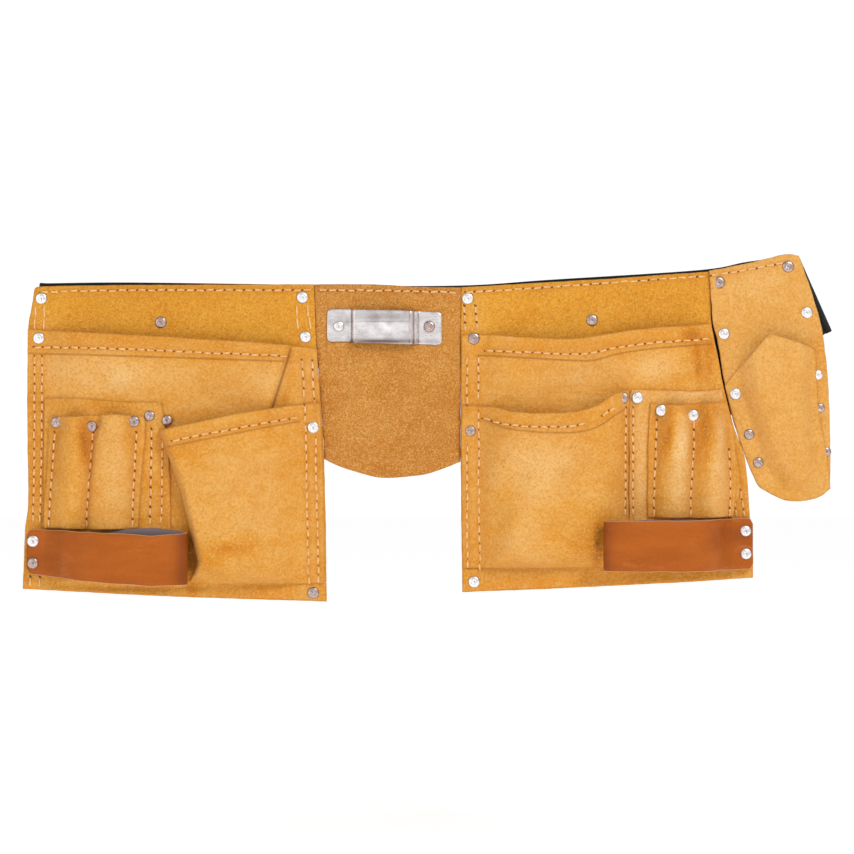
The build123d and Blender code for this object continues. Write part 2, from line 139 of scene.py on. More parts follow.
def distance_to(x, z, *lines, every=1):
    """Distance from points to the nearest of some open lines; every skips points of smooth ones."""
    best = np.full(np.shape(x), 1e9)
    for line in lines:
        line = np.asarray(line, float)
        if len(line) > 3 * every:
            line = np.vstack([line[:-1:every], line[-1:]])
        for (ax, az), (bx, bz) in zip(line, line[1:]):
            dx, dz = bx - ax, bz - az
            t = np.clip(((x - ax) * dx + (z - az) * dz) / (dx * dx + dz * dz + 1e-9), 0, 1)
            best = np.minimum(best, np.hypot(x - ax - t * dx, z - az - t * dz))
    return best


# ---------------------------------------------------------------- relief
def soft_step(value):
    t = np.clip(value, 0, 1)
    return t * t * (3 - 2 * t)


def ripple(x, z, seed, amount, shortest=22, longest=80):
    """Slow waves in worked leather."""
    waves = np.random.default_rng(seed)
    total = 0
    for _ in range(9):
        length = waves.uniform(shortest, longest)
        angle = waves.uniform(0, np.pi)
        phase = waves.uniform(0, 2 * np.pi)
        total = total + np.sin((x * np.cos(angle) + z * np.sin(angle)) * 2 * np.pi / length + phase)
    return amount * total / 3


def blobs(x, z, places):
    """Soft patches of tone, real patches and also painted shade, shadow and light: (x, z, half
    width, half height, slant in degrees, amount).
    """
    total = 0 * x
    for cx, cz, wide, high, slant, amount in places:
        c, s = math.cos(math.radians(slant)), math.sin(math.radians(slant))
        u, v = (x - cx) * c + (z - cz) * s, (z - cz) * c - (x - cx) * s
        total = total + amount * np.exp(-(u / wide) ** 2 - (v / high) ** 2)
    return total


def room(sides, height):
    """Rise of a pocket's face over its seams.

    sides are (reach, point, point, ...); each begins where the one before it ends.
    """
    lines = [sides[0][1:]]
    for side in sides[1:]:
        lines.append((lines[-1][-1], *side[1:]))
    border = np.vstack(lines)

    def rise(x, z):
        within = inside(np.column_stack([x, z]), border)
        swell = np.ones(len(x))
        for line, (reach, *_) in zip(lines, sides):
            near = np.clip(distance_to(x, z, line) / reach, 0, 1)
            swell = np.minimum(swell, np.sin(np.pi / 2 * near))
        return height * swell * within
    return rise


def flat(depth, seed, amount):
    """Depth of a leather that lies flat, but for its waves."""
    return lambda x, z: depth + np.abs(ripple(x, z, seed, amount))


def hem(x, z, foot, extra):
    """The band folded over along a pocket's mouth, down to its cut edge."""
    over = z - np.interp(x, foot[:, 0], foot[:, 1])
    return extra * soft_step(over / 0.7 + 0.5) - 0.3 * np.exp(-(over / 1.3) ** 2)


def furrow(x, z, *rows, deep=0.5, wide=1.5):
    """The groove that tight thread pulls into leather."""
    return -deep * np.exp(-(distance_to(x, z, *rows, every=4) / wide) ** 2)


def pinch(x, z, places, deep, wide=7.0):
    """Hollows round rivets."""
    return -sum(deep * np.exp(-((x - px) ** 2 + (z - pz) ** 2) / wide ** 2) for px, pz in places)


# ---------------------------------------------------------------- meshes
def piece(name, mesh_data, material, ride, nodes=(), attributes=None):
    """An object from (vertices, faces), the nodes it replaces and what moves it.

    ride is the name of a body, or (body, body, start, end) for a blend from one to the other.
    """
    verts, faces = mesh_data
    mesh = bpy.data.meshes.new(name)
    mesh.from_pydata([tuple(v) for v in verts], [], [tuple(f) for f in faces])
    mesh.validate()
    obj = bpy.data.objects.new(name, mesh)
    bpy.context.collection.objects.link(obj)
    mesh.materials.append(material)
    mesh.polygons.foreach_set("use_smooth", [True] * len(mesh.polygons))
    rest = mesh.attributes.new("rest", "FLOAT_VECTOR", "POINT")
    rest.data.foreach_set("vector", np.asarray(verts, np.float32).ravel())
    for key, values in (attributes or {}).items():
        layer = mesh.attributes.new(key, "FLOAT", "POINT")
        layer.data.foreach_set("value", np.asarray(values, np.float32))
    mesh.update()
    if nodes:
        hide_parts(*nodes)
    if isinstance(ride, str):
        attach(obj, ride)
    else:
        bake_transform(obj)


class Sheet:
    """A piece of leather: its outline, the depth of its rear face, and what it adds in front.

    rows are seams that sink in by deep, fold is the band along a mouth as (foot, thickness,
    strength of the painted shade along its cut edge), rivets pull it in by pull, and relief is
    anything else.
    """

    def __init__(self, outline, depth, rows=(), deep=0.5, fold=None, rivets=(), pull=0.7,
                 relief=None, thick=LEATHER):
        self.outline, self.depth, self.thick = outline, depth, thick
        self.rows, self.fold = rows, fold
        self.adds = []
        if fold:
            self.adds.append(lambda x, z: hem(x, z, *fold[:2]))
        if rows and deep:
            self.adds.append(lambda x, z: furrow(x, z, *rows, deep=deep))
        if relief:
            self.adds.append(relief)
        if rivets:
            self.adds.append(lambda x, z: pinch(x, z, rivets, pull))

    def top(self, x, z):
        return self.depth(x, z) + self.thick + sum((add(x, z) for add in self.adds), 0 * x)

    def build(self, name, material, ride, nodes, step=2.1, cut=0.22, tone=(),
              creases=(), seams=None):
        """Make the piece; returns the sheet, for what lies on it."""
        seams = self.rows if seams is None else seams
        creases = [*([(self.fold[0], self.fold[2])] if self.fold else []), *creases]
        outline = rough_cut(self.outline, cut)
        rim = inset(outline, EDGE_ROUND)
        low, high = rim.min(axis=0), rim.max(axis=0)
        grid = np.stack(np.meshgrid(np.arange(low[0], high[0], step),
                                    np.arange(low[1], high[1], step * ROW_SPACING)), axis=-1)
        grid[1::2, :, 0] += step / 2
        grid = grid.reshape(-1, 2)
        grid = grid[inside(grid, rim)]
        for line, _ in creases:
            grid = grid[distance_to(*grid.T, line, every=2) > 0.5 * step + 0.5]
            grid = np.vstack([grid, *(beside(line, offset) for offset in CREASE_LINES)])
            grid = grid[inside(grid, rim)]
        grid = grid[distance_to(*grid.T, closed(rim)) > (0.6 * step if not creases else 0.8)]
        count = len(rim)
        edges = [(i, (i + 1) % count) for i in range(count)]
        result = delaunay_2d_cdt([Vector(p) for p in np.vstack([rim, grid])], edges,
                                 [list(range(count))], 1, 1e-6)
        points = np.array([tuple(v) for v in result[0]])
        triangles = [list(f) for f in result[2]]
        size = len(points)
        x, z = points.T
        out_x, out_z = outline.T
        out_rear, out_front = self.depth(out_x, out_z), self.top(out_x, out_z)
        layers = [np.column_stack([x, -self.top(x, z), z]),
                  np.column_stack([x, -self.depth(x, z), z])]
        for share in (0.74, 0.26):
            depth = out_rear + share * (out_front - out_rear)
            layers.append(np.column_stack([out_x, -depth, out_z]))
        faces = triangles + [[size + i for i in f[::-1]] for f in triangles]
        outer_front, outer_rear = 2 * size, 2 * size + count
        for i, j in edges:
            faces.append((i, outer_front + i, outer_front + j, j))
            faces.append((outer_front + i, outer_rear + i, outer_rear + j, outer_front + j))
            faces.append((outer_rear + i, size + i, size + j, outer_rear + j))
        edge = np.exp(-distance_to(x, z, closed(outline)) / EDGE_FADE)
        seam = np.exp(-distance_to(x, z, *seams, every=4) / SEAM_FADE) if seams else 0 * x
        # painted shade along each crease and each hem's cut edge, by its strength
        crease_shade = 0 * x
        for line, strength in creases:
            near = distance_to(x, z, line, every=2)
            crease_shade = np.maximum(crease_shade, strength * np.exp(-(near / CREASE_SHADE_FADE) ** 2))
        shade, rim_shade = blobs(x, z, tone), blobs(out_x, out_z, tone)
        none = np.zeros(2 * count)
        piece(name, (np.vstack(layers) * MM, faces), material, ride, nodes, {
            "edge": np.concatenate([edge, edge, none + 1]),
            "seam": np.concatenate([seam, 0 * seam, none]),
            "tone": np.concatenate([shade, shade, rim_shade, rim_shade]),
            "crease_shade": np.concatenate([crease_shade, 0 * crease_shade, none])})
        return self


def ribbon(stations, thick, curl=0.0, across=14):
    """A flat strap through stations (one edge, other edge, normal), in millimetres.

    Returns its vertices in metres, faces, and the along, across, edge and inner attributes.
    """
    share = np.concatenate([[0.0], np.linspace(0.012, 0.988, across), [1.0]])
    half = np.concatenate([[0.55], np.ones(across), [0.55]]) * thick / 2
    verts, along, over, edge, inner = [], [], [], [], []
    travelled, last = 0.0, None
    for first, second, normal in stations:
        first, second, normal = (np.array(v, float) for v in (first, second, normal))
        normal /= np.linalg.norm(normal)
        middle = (first + second) / 2
        travelled += 0 if last is None else np.linalg.norm(middle - last)
        last = middle
        line = first + share[:, None] * (second - first)
        bow = curl * (2 * share - 1) ** 2
        front, rear = line + normal * (half - bow)[:, None], line - normal * (half + bow)[:, None]
        verts.append(np.vstack([front, rear[::-1]]))
        width = np.linalg.norm(second - first)
        both = np.concatenate([share, share[::-1]])
        along += [travelled] * len(both)
        over += list(both * width)
        edge += list(np.exp(-np.minimum(both, 1 - both) * width / 0.6))
        inner += [0.0] * len(share) + [1.0] * len(share)
    verts, faces = tube_grid(verts)
    return verts * MM, faces, {"along": along, "across": over, "edge": edge, "inner": inner}


def tube_grid(rings):
    """Faces between equal rings of vertices, capped at both ends."""
    n = len(rings[0])
    faces = []
    for k in range(0, (len(rings) - 1) * n, n):
        for i in range(n):
            j = (i + 1) % n
            faces.append((k + i, k + j, k + n + j, k + n + i))
    faces.append(tuple(range(n))[::-1])
    faces.append(tuple((len(rings) - 1) * n + i for i in range(n)))
    return np.vstack(rings), faces


def merge(parts):
    """One set of vertices and faces from many."""
    verts, faces, start = [], [], 0
    for v, f in parts:
        verts.append(v)
        faces += [tuple(start + i for i in face) for face in f]
        start += len(v)
    return np.vstack(verts), faces


# ---------------------------------------------------------------- materials
class Shader:
    """A small helper that adds nodes to a material."""

    def __init__(self, name, rigid=False):
        self.rigid = rigid
        self.material = bpy.data.materials.new(name)
        self.material.use_nodes = True
        self.tree = self.material.node_tree
        self.tree.nodes.clear()
        output = self.tree.nodes.new("ShaderNodeOutputMaterial")
        self.surface = self.tree.nodes.new("ShaderNodeBsdfPrincipled")
        self.tree.links.new(self.surface.outputs[0], output.inputs[0])

    def add(self, kind, inputs, **settings):
        node = self.tree.nodes.new("ShaderNode" + kind)
        for key, value in settings.items():
            setattr(node, key, value)
        for key, value in inputs.items():
            self.put(node.inputs[key], value)
        return node.outputs

    def put(self, socket, value):
        if isinstance(value, bpy.types.NodeSocket):
            self.tree.links.new(value, socket)
        else:
            socket.default_value = value

    def set(self, **inputs):
        for key, value in inputs.items():
            self.put(self.surface.inputs[key.replace("_", " ")], value)

    def rest(self):
        """Place on the piece, which stays put when the piece bends."""
        if self.rigid:
            return self.add("TexCoord", {})["Object"]
        return self.add("Attribute", {}, attribute_name="rest")["Vector"]

    def value(self, name):
        return self.add("Attribute", {}, attribute_name=name)["Fac"]

    def noise(self, scale, detail=3.0, roughness=0.55, stretch=None):
        vector = self.rest()
        if stretch:
            vector = self.add("VectorMath", {0: vector, 1: stretch}, operation="MULTIPLY")[0]
        return self.add("TexNoise", {"Vector": vector, "Scale": scale, "Detail": detail,
                                     "Roughness": roughness})["Fac"]

    def spread(self, value, low, high, to_low=0.0, to_high=1.0):
        return self.add("MapRange", {"Value": value, "From Min": low, "From Max": high,
                                     "To Min": to_low, "To Max": to_high})[0]

    def mix(self, factor, a, b):
        """Colour a, and b over it by factor."""
        return self.add("Mix", {0: factor, 6: a, 7: b}, data_type="RGBA")[2]

    def paint(self, colour, *layers):
        """Colour under layers (value, low, high, strength at high, colour)."""
        for value, low, high, strength, over in layers:
            colour = self.mix(self.spread(value, low, high, 0.0, strength), colour, over)
        return colour

    def times(self, a, b):
        return self.add("Math", {0: a, 1: b}, operation="MULTIPLY")[0]

    def plus(self, a, b):
        return self.add("Math", {0: a, 1: b}, operation="ADD")[0]

    def bumped(self, height, strength, distance):
        """The material, with dents in its surface; the distance is in metres."""
        self.set(Normal=self.add("Bump", {"Height": height, "Strength": strength,
                                          "Distance": distance})[0])
        return self.material


def rgb(r, g, b):
    """Linear colour of an 8-bit display colour."""
    return (*[((c / 255 + 0.055) / 1.055) ** 2.4 if c > 10 else c / 3295 for c in (r, g, b)], 1.0)


def suede(name, deep, middle, pale, nap=1.0, fine=1.0):
    """Split leather: soft patches where the nap lies either way, fibres and darker pores, and over
    them painted shade, shadow and light from the tone and crease_shade attributes.
    """
    s = Shader(name)
    deep, middle, pale = rgb(*deep), rgb(*middle), rgb(*pale)
    patches = s.spread(s.noise(24, 5, 0.65), 0.38, 0.62)
    streaks = s.spread(s.noise(85, 5, 0.7, stretch=(0.6, 1.0, 1.3)), 0.36, 0.66)
    cloud = s.spread(s.noise(46, 5, 0.7), 0.32, 0.68, 0.35, 1.3)
    fibre, pores = s.noise(640 * fine, 4, 0.8), s.noise(520 * fine, 4, 0.75)
    tone = s.times(s.value("tone"), cloud)
    colour = s.mix(s.times(streaks, 0.5), s.mix(patches, deep, middle), pale)
    colour = s.paint(
        colour,
        # tone up to 1: darker patches and painted shade; below 0: paler worn patches and painted
        # light; above 1: painted shadow
        (tone, 0, 1, 1, rgb(204, 122, 24)),
        (tone, 0, -1, 1, rgb(240, 200, 138)),
        (tone, 1, 2.2, 0.85, rgb(112, 58, 12)),
        (fibre, 0.5, 0.62, 0.62 * nap, pale),
        (fibre, 0.5, 0.38, 0.7 * nap, deep),
        (pores, 0.5, 0.68, 0.42 * nap, rgb(184, 108, 30)))
    colour = s.mix(s.times(s.value("seam"), 0.4), colour, rgb(190, 112, 30))
    # crease_shade: painted shade along creases and hem edges
    colour = s.paint(colour, (s.value("edge"), 0.55, 1, 0.4, rgb(186, 116, 44)),
                     (s.value("crease_shade"), 0, 1, 0.85, rgb(124, 68, 18)))
    s.set(Base_Color=colour, Roughness=0.95, Specular_IOR_Level=0.1)
    s.set(Sheen_Weight=0.06, Sheen_Roughness=0.5)
    return s.bumped(s.plus(s.times(fibre, 0.7), s.noise(230, 4, 0.65)), 0.8 * nap, 0.0016)


def smooth_leather(name):
    """Waxed brown strap with fine creases, a grey inside, a pale cut edge and painted shade from
    its tone attribute.
    """
    s = Shader(name)
    tone = s.spread(s.noise(28, 4, 0.6, stretch=(0.5, 1, 1.6)), 0.3, 0.7)
    grain = s.noise(620, 3, 0.6)
    rubs = s.noise(70, 5, 0.75, stretch=(0.35, 1, 1.5))
    colour = s.paint(s.mix(tone, rgb(154, 75, 9), rgb(180, 93, 19)),
                     (grain, 0.5, 0.7, 0.3, rgb(146, 64, 12)),
                     (rubs, 0.58, 0.72, 0.22, rgb(214, 140, 76)))
    # tone: painted shade where the strap turns back and rises from the pouch
    colour = s.mix(s.value("tone"), colour, rgb(104, 44, 4))
    colour = s.paint(colour, (s.value("edge"), 0.5, 0.9, 1, rgb(206, 160, 126)))
    colour = s.mix(s.value("inner"), colour, rgb(120, 106, 106))
    s.set(Base_Color=colour, Specular_IOR_Level=0.2)
    s.set(Roughness=s.spread(s.noise(90, 4), 0.3, 0.7, 0.36, 0.55))
    creases = s.add("TexVoronoi", {"Vector": s.rest(), "Scale": 900.0},
                    feature="DISTANCE_TO_EDGE")["Distance"]
    return s.bumped(s.plus(s.spread(creases, 0, 0.2), s.times(grain, 0.8)), 0.25, 0.0004)


def thread_material():
    s = Shader("thread")
    tone = s.spread(s.noise(500, 2), 0.35, 0.65)
    s.set(Base_Color=s.mix(tone, rgb(232, 170, 98), rgb(248, 204, 144)))
    s.set(Roughness=0.7, Sheen_Weight=0.1)
    twist = s.add("TexWave", {"Vector": s.rest(), "Scale": 900.0, "Distortion": 1.0},
                  wave_type="BANDS", bands_direction="DIAGONAL")["Fac"]
    return s.bumped(twist, 0.5, 0.0003)


def hole_material():
    s = Shader("needle_hole")
    # the hole's dark colour is painted shade inside the needle hole
    s.set(Base_Color=s.mix(s.noise(900), rgb(96, 50, 10), rgb(140, 78, 22)), Roughness=0.95)
    return s.material


def nickel(name, bright, dark, worn):
    """Nickelled rivet cap with handling marks, and grime and painted shade in its hollows and round
    its rim.
    """
    s = Shader(name)
    marks = s.noise(1300, 4, 0.7)
    tarnish = s.spread(s.noise(520, 4, 0.7), 0.35, 0.68)
    colour = s.mix(s.times(tarnish, worn), rgb(*bright), rgb(*dark))
    # edge: grime and painted shade, darkest round the rim where the cap meets the leather
    colour = s.paint(colour, (s.value("edge"), 0, 1, 0.85, rgb(92, 66, 48)))
    s.set(Base_Color=colour, Metallic=0.72, Roughness=s.spread(marks, 0.3, 0.75, 0.2, 0.45))
    return s.bumped(marks, 0.15, 0.0004)


def plated_steel():
    """Bright zinc plate, dented and rubbed by use, with painted shade lines where its tone
    attribute says.
    """
    s = Shader("plated_steel")
    rubbed = s.noise(300, 4, 0.65, stretch=(0.3, 1, 2.2))
    colour = s.paint(rgb(240, 236, 236),
                     (s.noise(140, 4), 0.35, 0.7, 1, rgb(206, 198, 198)),
                     (s.value("edge"), 0.3, 1, 0.55, rgb(134, 110, 100)),
                     # tone: painted shade along the bridge's bends, crimps and lower edge
                     (s.value("tone"), 0, 1, 0.9, rgb(104, 76, 66)))
    s.set(Base_Color=colour, Metallic=0.5, Roughness=s.spread(rubbed, 0.3, 0.7, 0.18, 0.36))
    return s.bumped(s.plus(s.noise(95, 3, 0.5), s.times(rubbed, 0.02)), 0.3, 0.0012)


def webbing_material():
    """Plain black polypropylene weave, with its ribs along the strap."""
    s = Shader("webbing")
    weft, rib = (s.add("Math", {0: s.times(s.value(way), 2 * math.pi / pitch)}, operation="SINE")[0]
                 for way, pitch in (("along", 2.1), ("across", 1.7)))
    weave = s.times(weft, rib)
    tone = s.spread(weave, -1, 1)
    colour = s.paint(s.mix(tone, rgb(9, 9, 10), rgb(26, 26, 28)),
                     (s.noise(70, 4), 0.5, 0.8, 0.2, rgb(44, 42, 42)))
    s.set(Base_Color=colour, Specular_IOR_Level=0.25)
    s.set(Roughness=s.spread(tone, 0, 1, 0.8, 0.6), Sheen_Weight=0.04)
    return s.bumped(s.plus(weave, s.times(rib, 0.5)), 0.6, 0.0006)


def moulded_plastic():
    s = Shader("moulded_plastic", rigid=True)
    grain = s.noise(1500, 2)
    s.set(Base_Color=s.mix(s.spread(s.noise(60, 3), 0.4, 0.7), rgb(20, 20, 22), rgb(34, 34, 36)))
    s.set(Roughness=s.spread(grain, 0.3, 0.7, 0.38, 0.55), Specular_IOR_Level=0.5)
    return s.bumped(grain, 0.15, 0.0003)


SUEDE = suede("suede", (216, 140, 38), (227, 158, 62), (233, 182, 105))
SUEDE_BAND = suede("suede_band", (233, 154, 41), (243, 170, 56), (248, 184, 80), 1.5, 1.3)
SUEDE_PALE = suede("suede_pale", (219, 152, 62), (226, 165, 83), (232, 184, 113))
FLESH = suede("flesh_side", (204, 124, 40), (223, 149, 59), (242, 185, 107), 1.6, 1.45)
BROWN = smooth_leather("brown_leather")
THREAD = thread_material()
HOLE = hole_material()
NICKEL = nickel("nickel", (246, 243, 242), (158, 148, 144), 0.35)
NICKEL_DULL = nickel("nickel_dull", (204, 184, 178), (132, 108, 100), 0.8)
STEEL = plated_steel()
WEBBING = webbing_material()
PLASTIC = moulded_plastic()


# ---------------------------------------------------------------- stitching and rivets
THREAD_RADIUS = 0.72
STITCH_ARCH = ((0.0, -0.7, 0.55), (0.12, 0.05, 0.9), (0.35, 0.35, 1.0), (0.65, 0.35, 1.0),
               (0.88, 0.05, 0.9), (1.0, -0.7, 0.55))     # (share of its length, rise, girth)
HOLE_HALF = (1.25, 0.8)
HOLE_SLANT = 0.75
STITCH_SHARE = 0.78      # the rest of the pitch is the needle hole
CAP_RADIUS = 4.4
CAP_SIDES, BURR_SIDES = 28, 24


def one_stitch(start, end, top, face):
    """Thread that comes out of one hole, arches over and goes into the next."""
    along = end - start
    side = np.array([-along[1], along[0]]) / np.hypot(*along)
    rings = []
    for t, rise, girth in STITCH_ARCH:
        x, z = start + along * t
        depth = float(top(np.array([x]), np.array([z]))[0]) + face * rise
        points = []
        for a in np.linspace(0, 2 * np.pi, 7, endpoint=False):
            out = side * np.cos(a) * THREAD_RADIUS * girth
            points.append((x + out[0], -(depth + np.sin(a) * THREAD_RADIUS * girth), z + out[1]))
        rings.append(np.array(points) * MM)
    return tube_grid(rings)


def one_hole(centre, along, top, face):
    """The dimple at a needle hole, dark with painted shade, a little oblique to the row."""
    x, z = centre
    depth = float(top(np.array([x]), np.array([z]))[0])
    angle = math.atan2(along[1], along[0]) + HOLE_SLANT
    points = [(x, -(depth + 0.34 * face), z)]
    for a in np.linspace(0, 2 * np.pi, 9, endpoint=False):
        u, v = HOLE_HALF[0] * np.cos(a), HOLE_HALF[1] * np.sin(a)
        points.append((x + u * math.cos(angle) - v * math.sin(angle), -(depth + 0.05 * face),
                       z + u * math.sin(angle) + v * math.cos(angle)))
    faces = [(0, i, i % 9 + 1)[::face] for i in range(1, 10)]
    return np.array(points) * MM, faces


def sew(name, ride, *groups, pitch=7.0, share=STITCH_SHARE, holed=True, face=1):
    """Thread and needle holes; face is 1 in front and -1 behind.

    A group is (surface depth, line, line, ...), and share is the thread's part of the pitch.
    """
    threads, holes = [], []
    for top, line in ((group[0], line) for group in groups for line in group[1:]):
        length = np.hypot(*np.diff(line, axis=0).T).sum()
        marks = resample(line, length / max(1, int(round(length / pitch))))
        for a, b in zip(marks, marks[1:]):
            along = b - a
            slip = random.uniform(-0.05, 0.05, 2)
            middle = (a + b) / 2 + np.array([-along[1], along[0]]) * slip[0]
            half = along * share * random.uniform(0.94, 1.05) / 2
            turn = np.array([-half[1], half[0]]) * slip[1] * 2
            threads.append(one_stitch(middle - half - turn, middle + half + turn, top, face))
            holes.append(one_hole(a, along, top, face))
    piece(f"{name}_thread", merge(threads), THREAD, ride)
    if holed:
        piece(f"{name}_holes", merge(holes), HOLE, ride)


def on(sheet, places, radius=CAP_RADIUS, sink=0.1):
    """Rivet places (x, z, depth, radius) on a leather."""
    around = np.arange(8)
    found = []
    for x, z in places:
        under = sheet.top(x + 0.8 * radius * np.cos(around), z + 0.8 * radius * np.sin(around))
        found.append((x, z, float(np.mean(under)) - sink, radius))
    return found


def rivet_cap(x, z, depth, radius):
    """Domed cap with a rolled rim and a dimple, seated in the leather."""
    profile = [(0.15, 0.6), (0.6, 0.7), (1.0, 1.05), (1.4, 1.32), (0.5 * radius, 1.38),
               (0.76 * radius, 1.14), (0.92 * radius, 0.74), (radius, 0.22), (radius, -0.4),
               (0.8 * radius, -0.9)]
    tilt = random.uniform(-0.05, 0.05, 2)
    a = np.linspace(0, 2 * np.pi, CAP_SIDES, endpoint=False)
    rings = []
    for r, rise in profile:
        u, v = r * np.cos(a), r * np.sin(a)
        lobes = 0.22 * np.cos(3 * a + 40 * tilt[0]) * math.exp(-((r - 1.0) / 0.6) ** 2)
        depths = depth + rise + lobes + tilt[0] * u + tilt[1] * v
        rings.append(np.column_stack([x + u, -depths, z + v]) * MM)
    return tube_grid(rings)


def rivets(name, body, places, node=None):
    """Caps at places (x, z, depth, radius); without a node to replace, they are dull."""
    # grime and painted shade: some in the dimple, none on the dome, most round the rim and foot
    grime_and_shade = np.repeat([0.5, 0.4, 0.15, 0, 0, 0, 0.3, 0.9, 1, 1], CAP_SIDES)
    piece(name, merge([rivet_cap(*p) for p in places]), NICKEL if node else NICKEL_DULL,
          body, [node] if node else (), {"edge": np.tile(grime_and_shade, len(places))})


def burrs(name, body, places, seat, radius=2.8):
    """Washers behind the layers, with the rivets' ends hammered flat over them."""
    profile = [(0.15, 0.62), (1.1, 0.66), (1.5, 0.5), (1.6, 0.32), (radius - 0.5, 0.36),
               (radius, 0.12), (radius, -0.8)]
    a = np.linspace(0, -2 * np.pi, BURR_SIDES, endpoint=False)
    parts = [tube_grid([np.column_stack([x + r * np.cos(a), 0 * a + rise - seat,
                                         z + r * np.sin(a)]) * MM for r, rise in profile])
             for x, z in places]
    # grime and painted shade, darkest in the step and round the foot
    grime_and_shade = np.repeat([0.2, 0.1, 0.5, 0.9, 0.2, 0.6, 1.0], BURR_SIDES)
    piece(name, merge(parts), NICKEL_DULL, body,
          attributes={"edge": np.tile(grime_and_shade, len(places))})


# ---------------------------------------------------------------- places
BACK = 3.0               # depth of the back leather's rear face
SEAM = BACK + LEATHER + 0.1
BLEND_HALF = 3.0
BLEND_DEPTH = 4.0


def across_hinge(body, a, b):
    """Blend from the belt to a piece hung along a, b, over a few millimetres of leather."""
    (ax, az), (bx, bz) = a, b
    length = math.hypot(bx - ax, bz - az)
    down = np.array([bz - az, 0, -(bx - ax)]) / length
    middle = np.array([(ax + bx) / 2, -BLEND_DEPTH, (az + bz) / 2])
    return ("belt", body, tuple((middle - down * BLEND_HALF) * MM),
            tuple((middle + down * BLEND_HALF) * MM))


LEFT_BLEND = across_hinge("left_pouch", (-266.8, 1.5), (-53.3, -14.5))
RIGHT_BLEND = across_hinge("right_pouch", (54.0, -3.4), (240.0, 1.6))
HOLSTER_BLEND = across_hinge("holster", (243.8, -11.8), (322.4, -11.8))

# ---------------------------------------------------------------- left pouch
LEFT_BAND_RIVETS = [(-63.6, 21.5), (-61.4, -8), (-168.7, 3)]
CORNER_RIVET = (-257.5, 20.7)
LEFT_RIM_RIVETS = [(-259.0, -8.9), (-55.5, -75.1), (-55.5, -197.8)]
left_top_row = run((-258.5, 25.6), (-195, 26.6), (-120, 26.9), (-56.5, 26.8))
left_floats = [run((-261.9, 15), (-262.3, -3.5)), run((-255.3, 15.5), (-255.4, -3.5))]
left_inner_floats = [run((-68.4, 16.2), (-66.8, -2.6)), run((-59.6, 16.2), (-57.6, -2.6))]
left_back = Sheet(
    loop([(-265, 12), (-267.1, -1.5), (-267.6, -40), (-267.6, -77), (-267, -128.8), (-269.2, -151),
          (-271.2, -194.8)],
         [(-220, -197.6), (-168.7, -200.2), (-100, -202.6), (-45.5, -204.2)],
         [(-46.4, -140), (-48.1, -84.4), (-51.1, -40), (-53.3, -10.4), (-54.8, 31.3)],
         [(-100, 31.1), (-195, 30.7), (-250, 29.9), (-260.8, 29.3)],
         [(-262.2, 28.4), (-262.8, 26)]),
    flat(BACK + 0.15, 1, 0.35), rows=[left_top_row], deep=0.35,
    rivets=[*LEFT_BAND_RIVETS, CORNER_RIVET], pull=0.4,
).build(
    "left_back_leather", SUEDE_BAND, LEFT_BLEND, ["left_band", "left_back_panel"], step=3.2,
    cut=0.12, tone=[(-160, 18, 90, 14, 0, 0.25), (-255, 10, 18, 30, 0, -0.12),
                    (-168.7, 3, 12, 10, 0, 0.25)])

left_hem_row = run((-263, -15.4), (-220, -16.3), (-168.7, -18.2), (-120, -20.4), (-73.5, -22.4))
left_hem_foot = run((-265.5, -20), (-160.8, -23.3), (-76.5, -26.2))
left_columns = [run((-262.2, -22), (-262.3, -80), (-263.4, -146)),
                run((-256.6, -22), (-256.8, -80), (-257.9, -146))]
left_foot_columns = [run((-265.2, -185.5), (-265.4, -193)), run((-258, -186), (-258.3, -193.4))]
left_inner_columns = [
    run((-64, -24.5), (-62.3, -50), (-61, -78), (-60, -130), (-58.8, -192)),
    run((-56.3, -25), (-55, -50), (-54, -68)),
    run((-53.8, -82), (-52.7, -130), (-51.4, -191))]
left_room = room([
    (30, (-251.5, 60), (-252, -138), (-243, -150), (-243, -191.5)),
    (16, (-168.7, -193.2), (-66, -190.6)),
    (34, (-66.5, -84), (-67, 60))], 7.6)
PLEAT = ((-70.6, -13.0), (-87.3, -66.0))


def left_upper_depth(x, z):
    """The pocket's swell, held flat by the pleat that drops from its mouth."""
    rise = left_room(x, z)
    (ax, az), (bx, bz) = PLEAT
    over = (x - ax) - (z - az) * (bx - ax) / (bz - az)
    held = soft_step((z + 74) / 16) * soft_step((over + 60) / 30)
    shelf = 7.0 * soft_step(-over / 2.4) + 1.2 * soft_step((-66 - x) / 4)
    rise = rise * (1 - held) + np.minimum(shelf, left_room(x - 18, z)) * held
    waves = ripple(x, z, 4, 0.5) + 1.1 * np.exp(-((over + 9) / 7) ** 2) * held
    dent = -1.6 * np.exp(-((0.35 * (x + 150) + z + 44) / 8) ** 2 - ((x + 150) / 46) ** 2)
    return SEAM + 0.15 + np.maximum(rise + soft_step(rise / 5) * (waves + dent), 0)


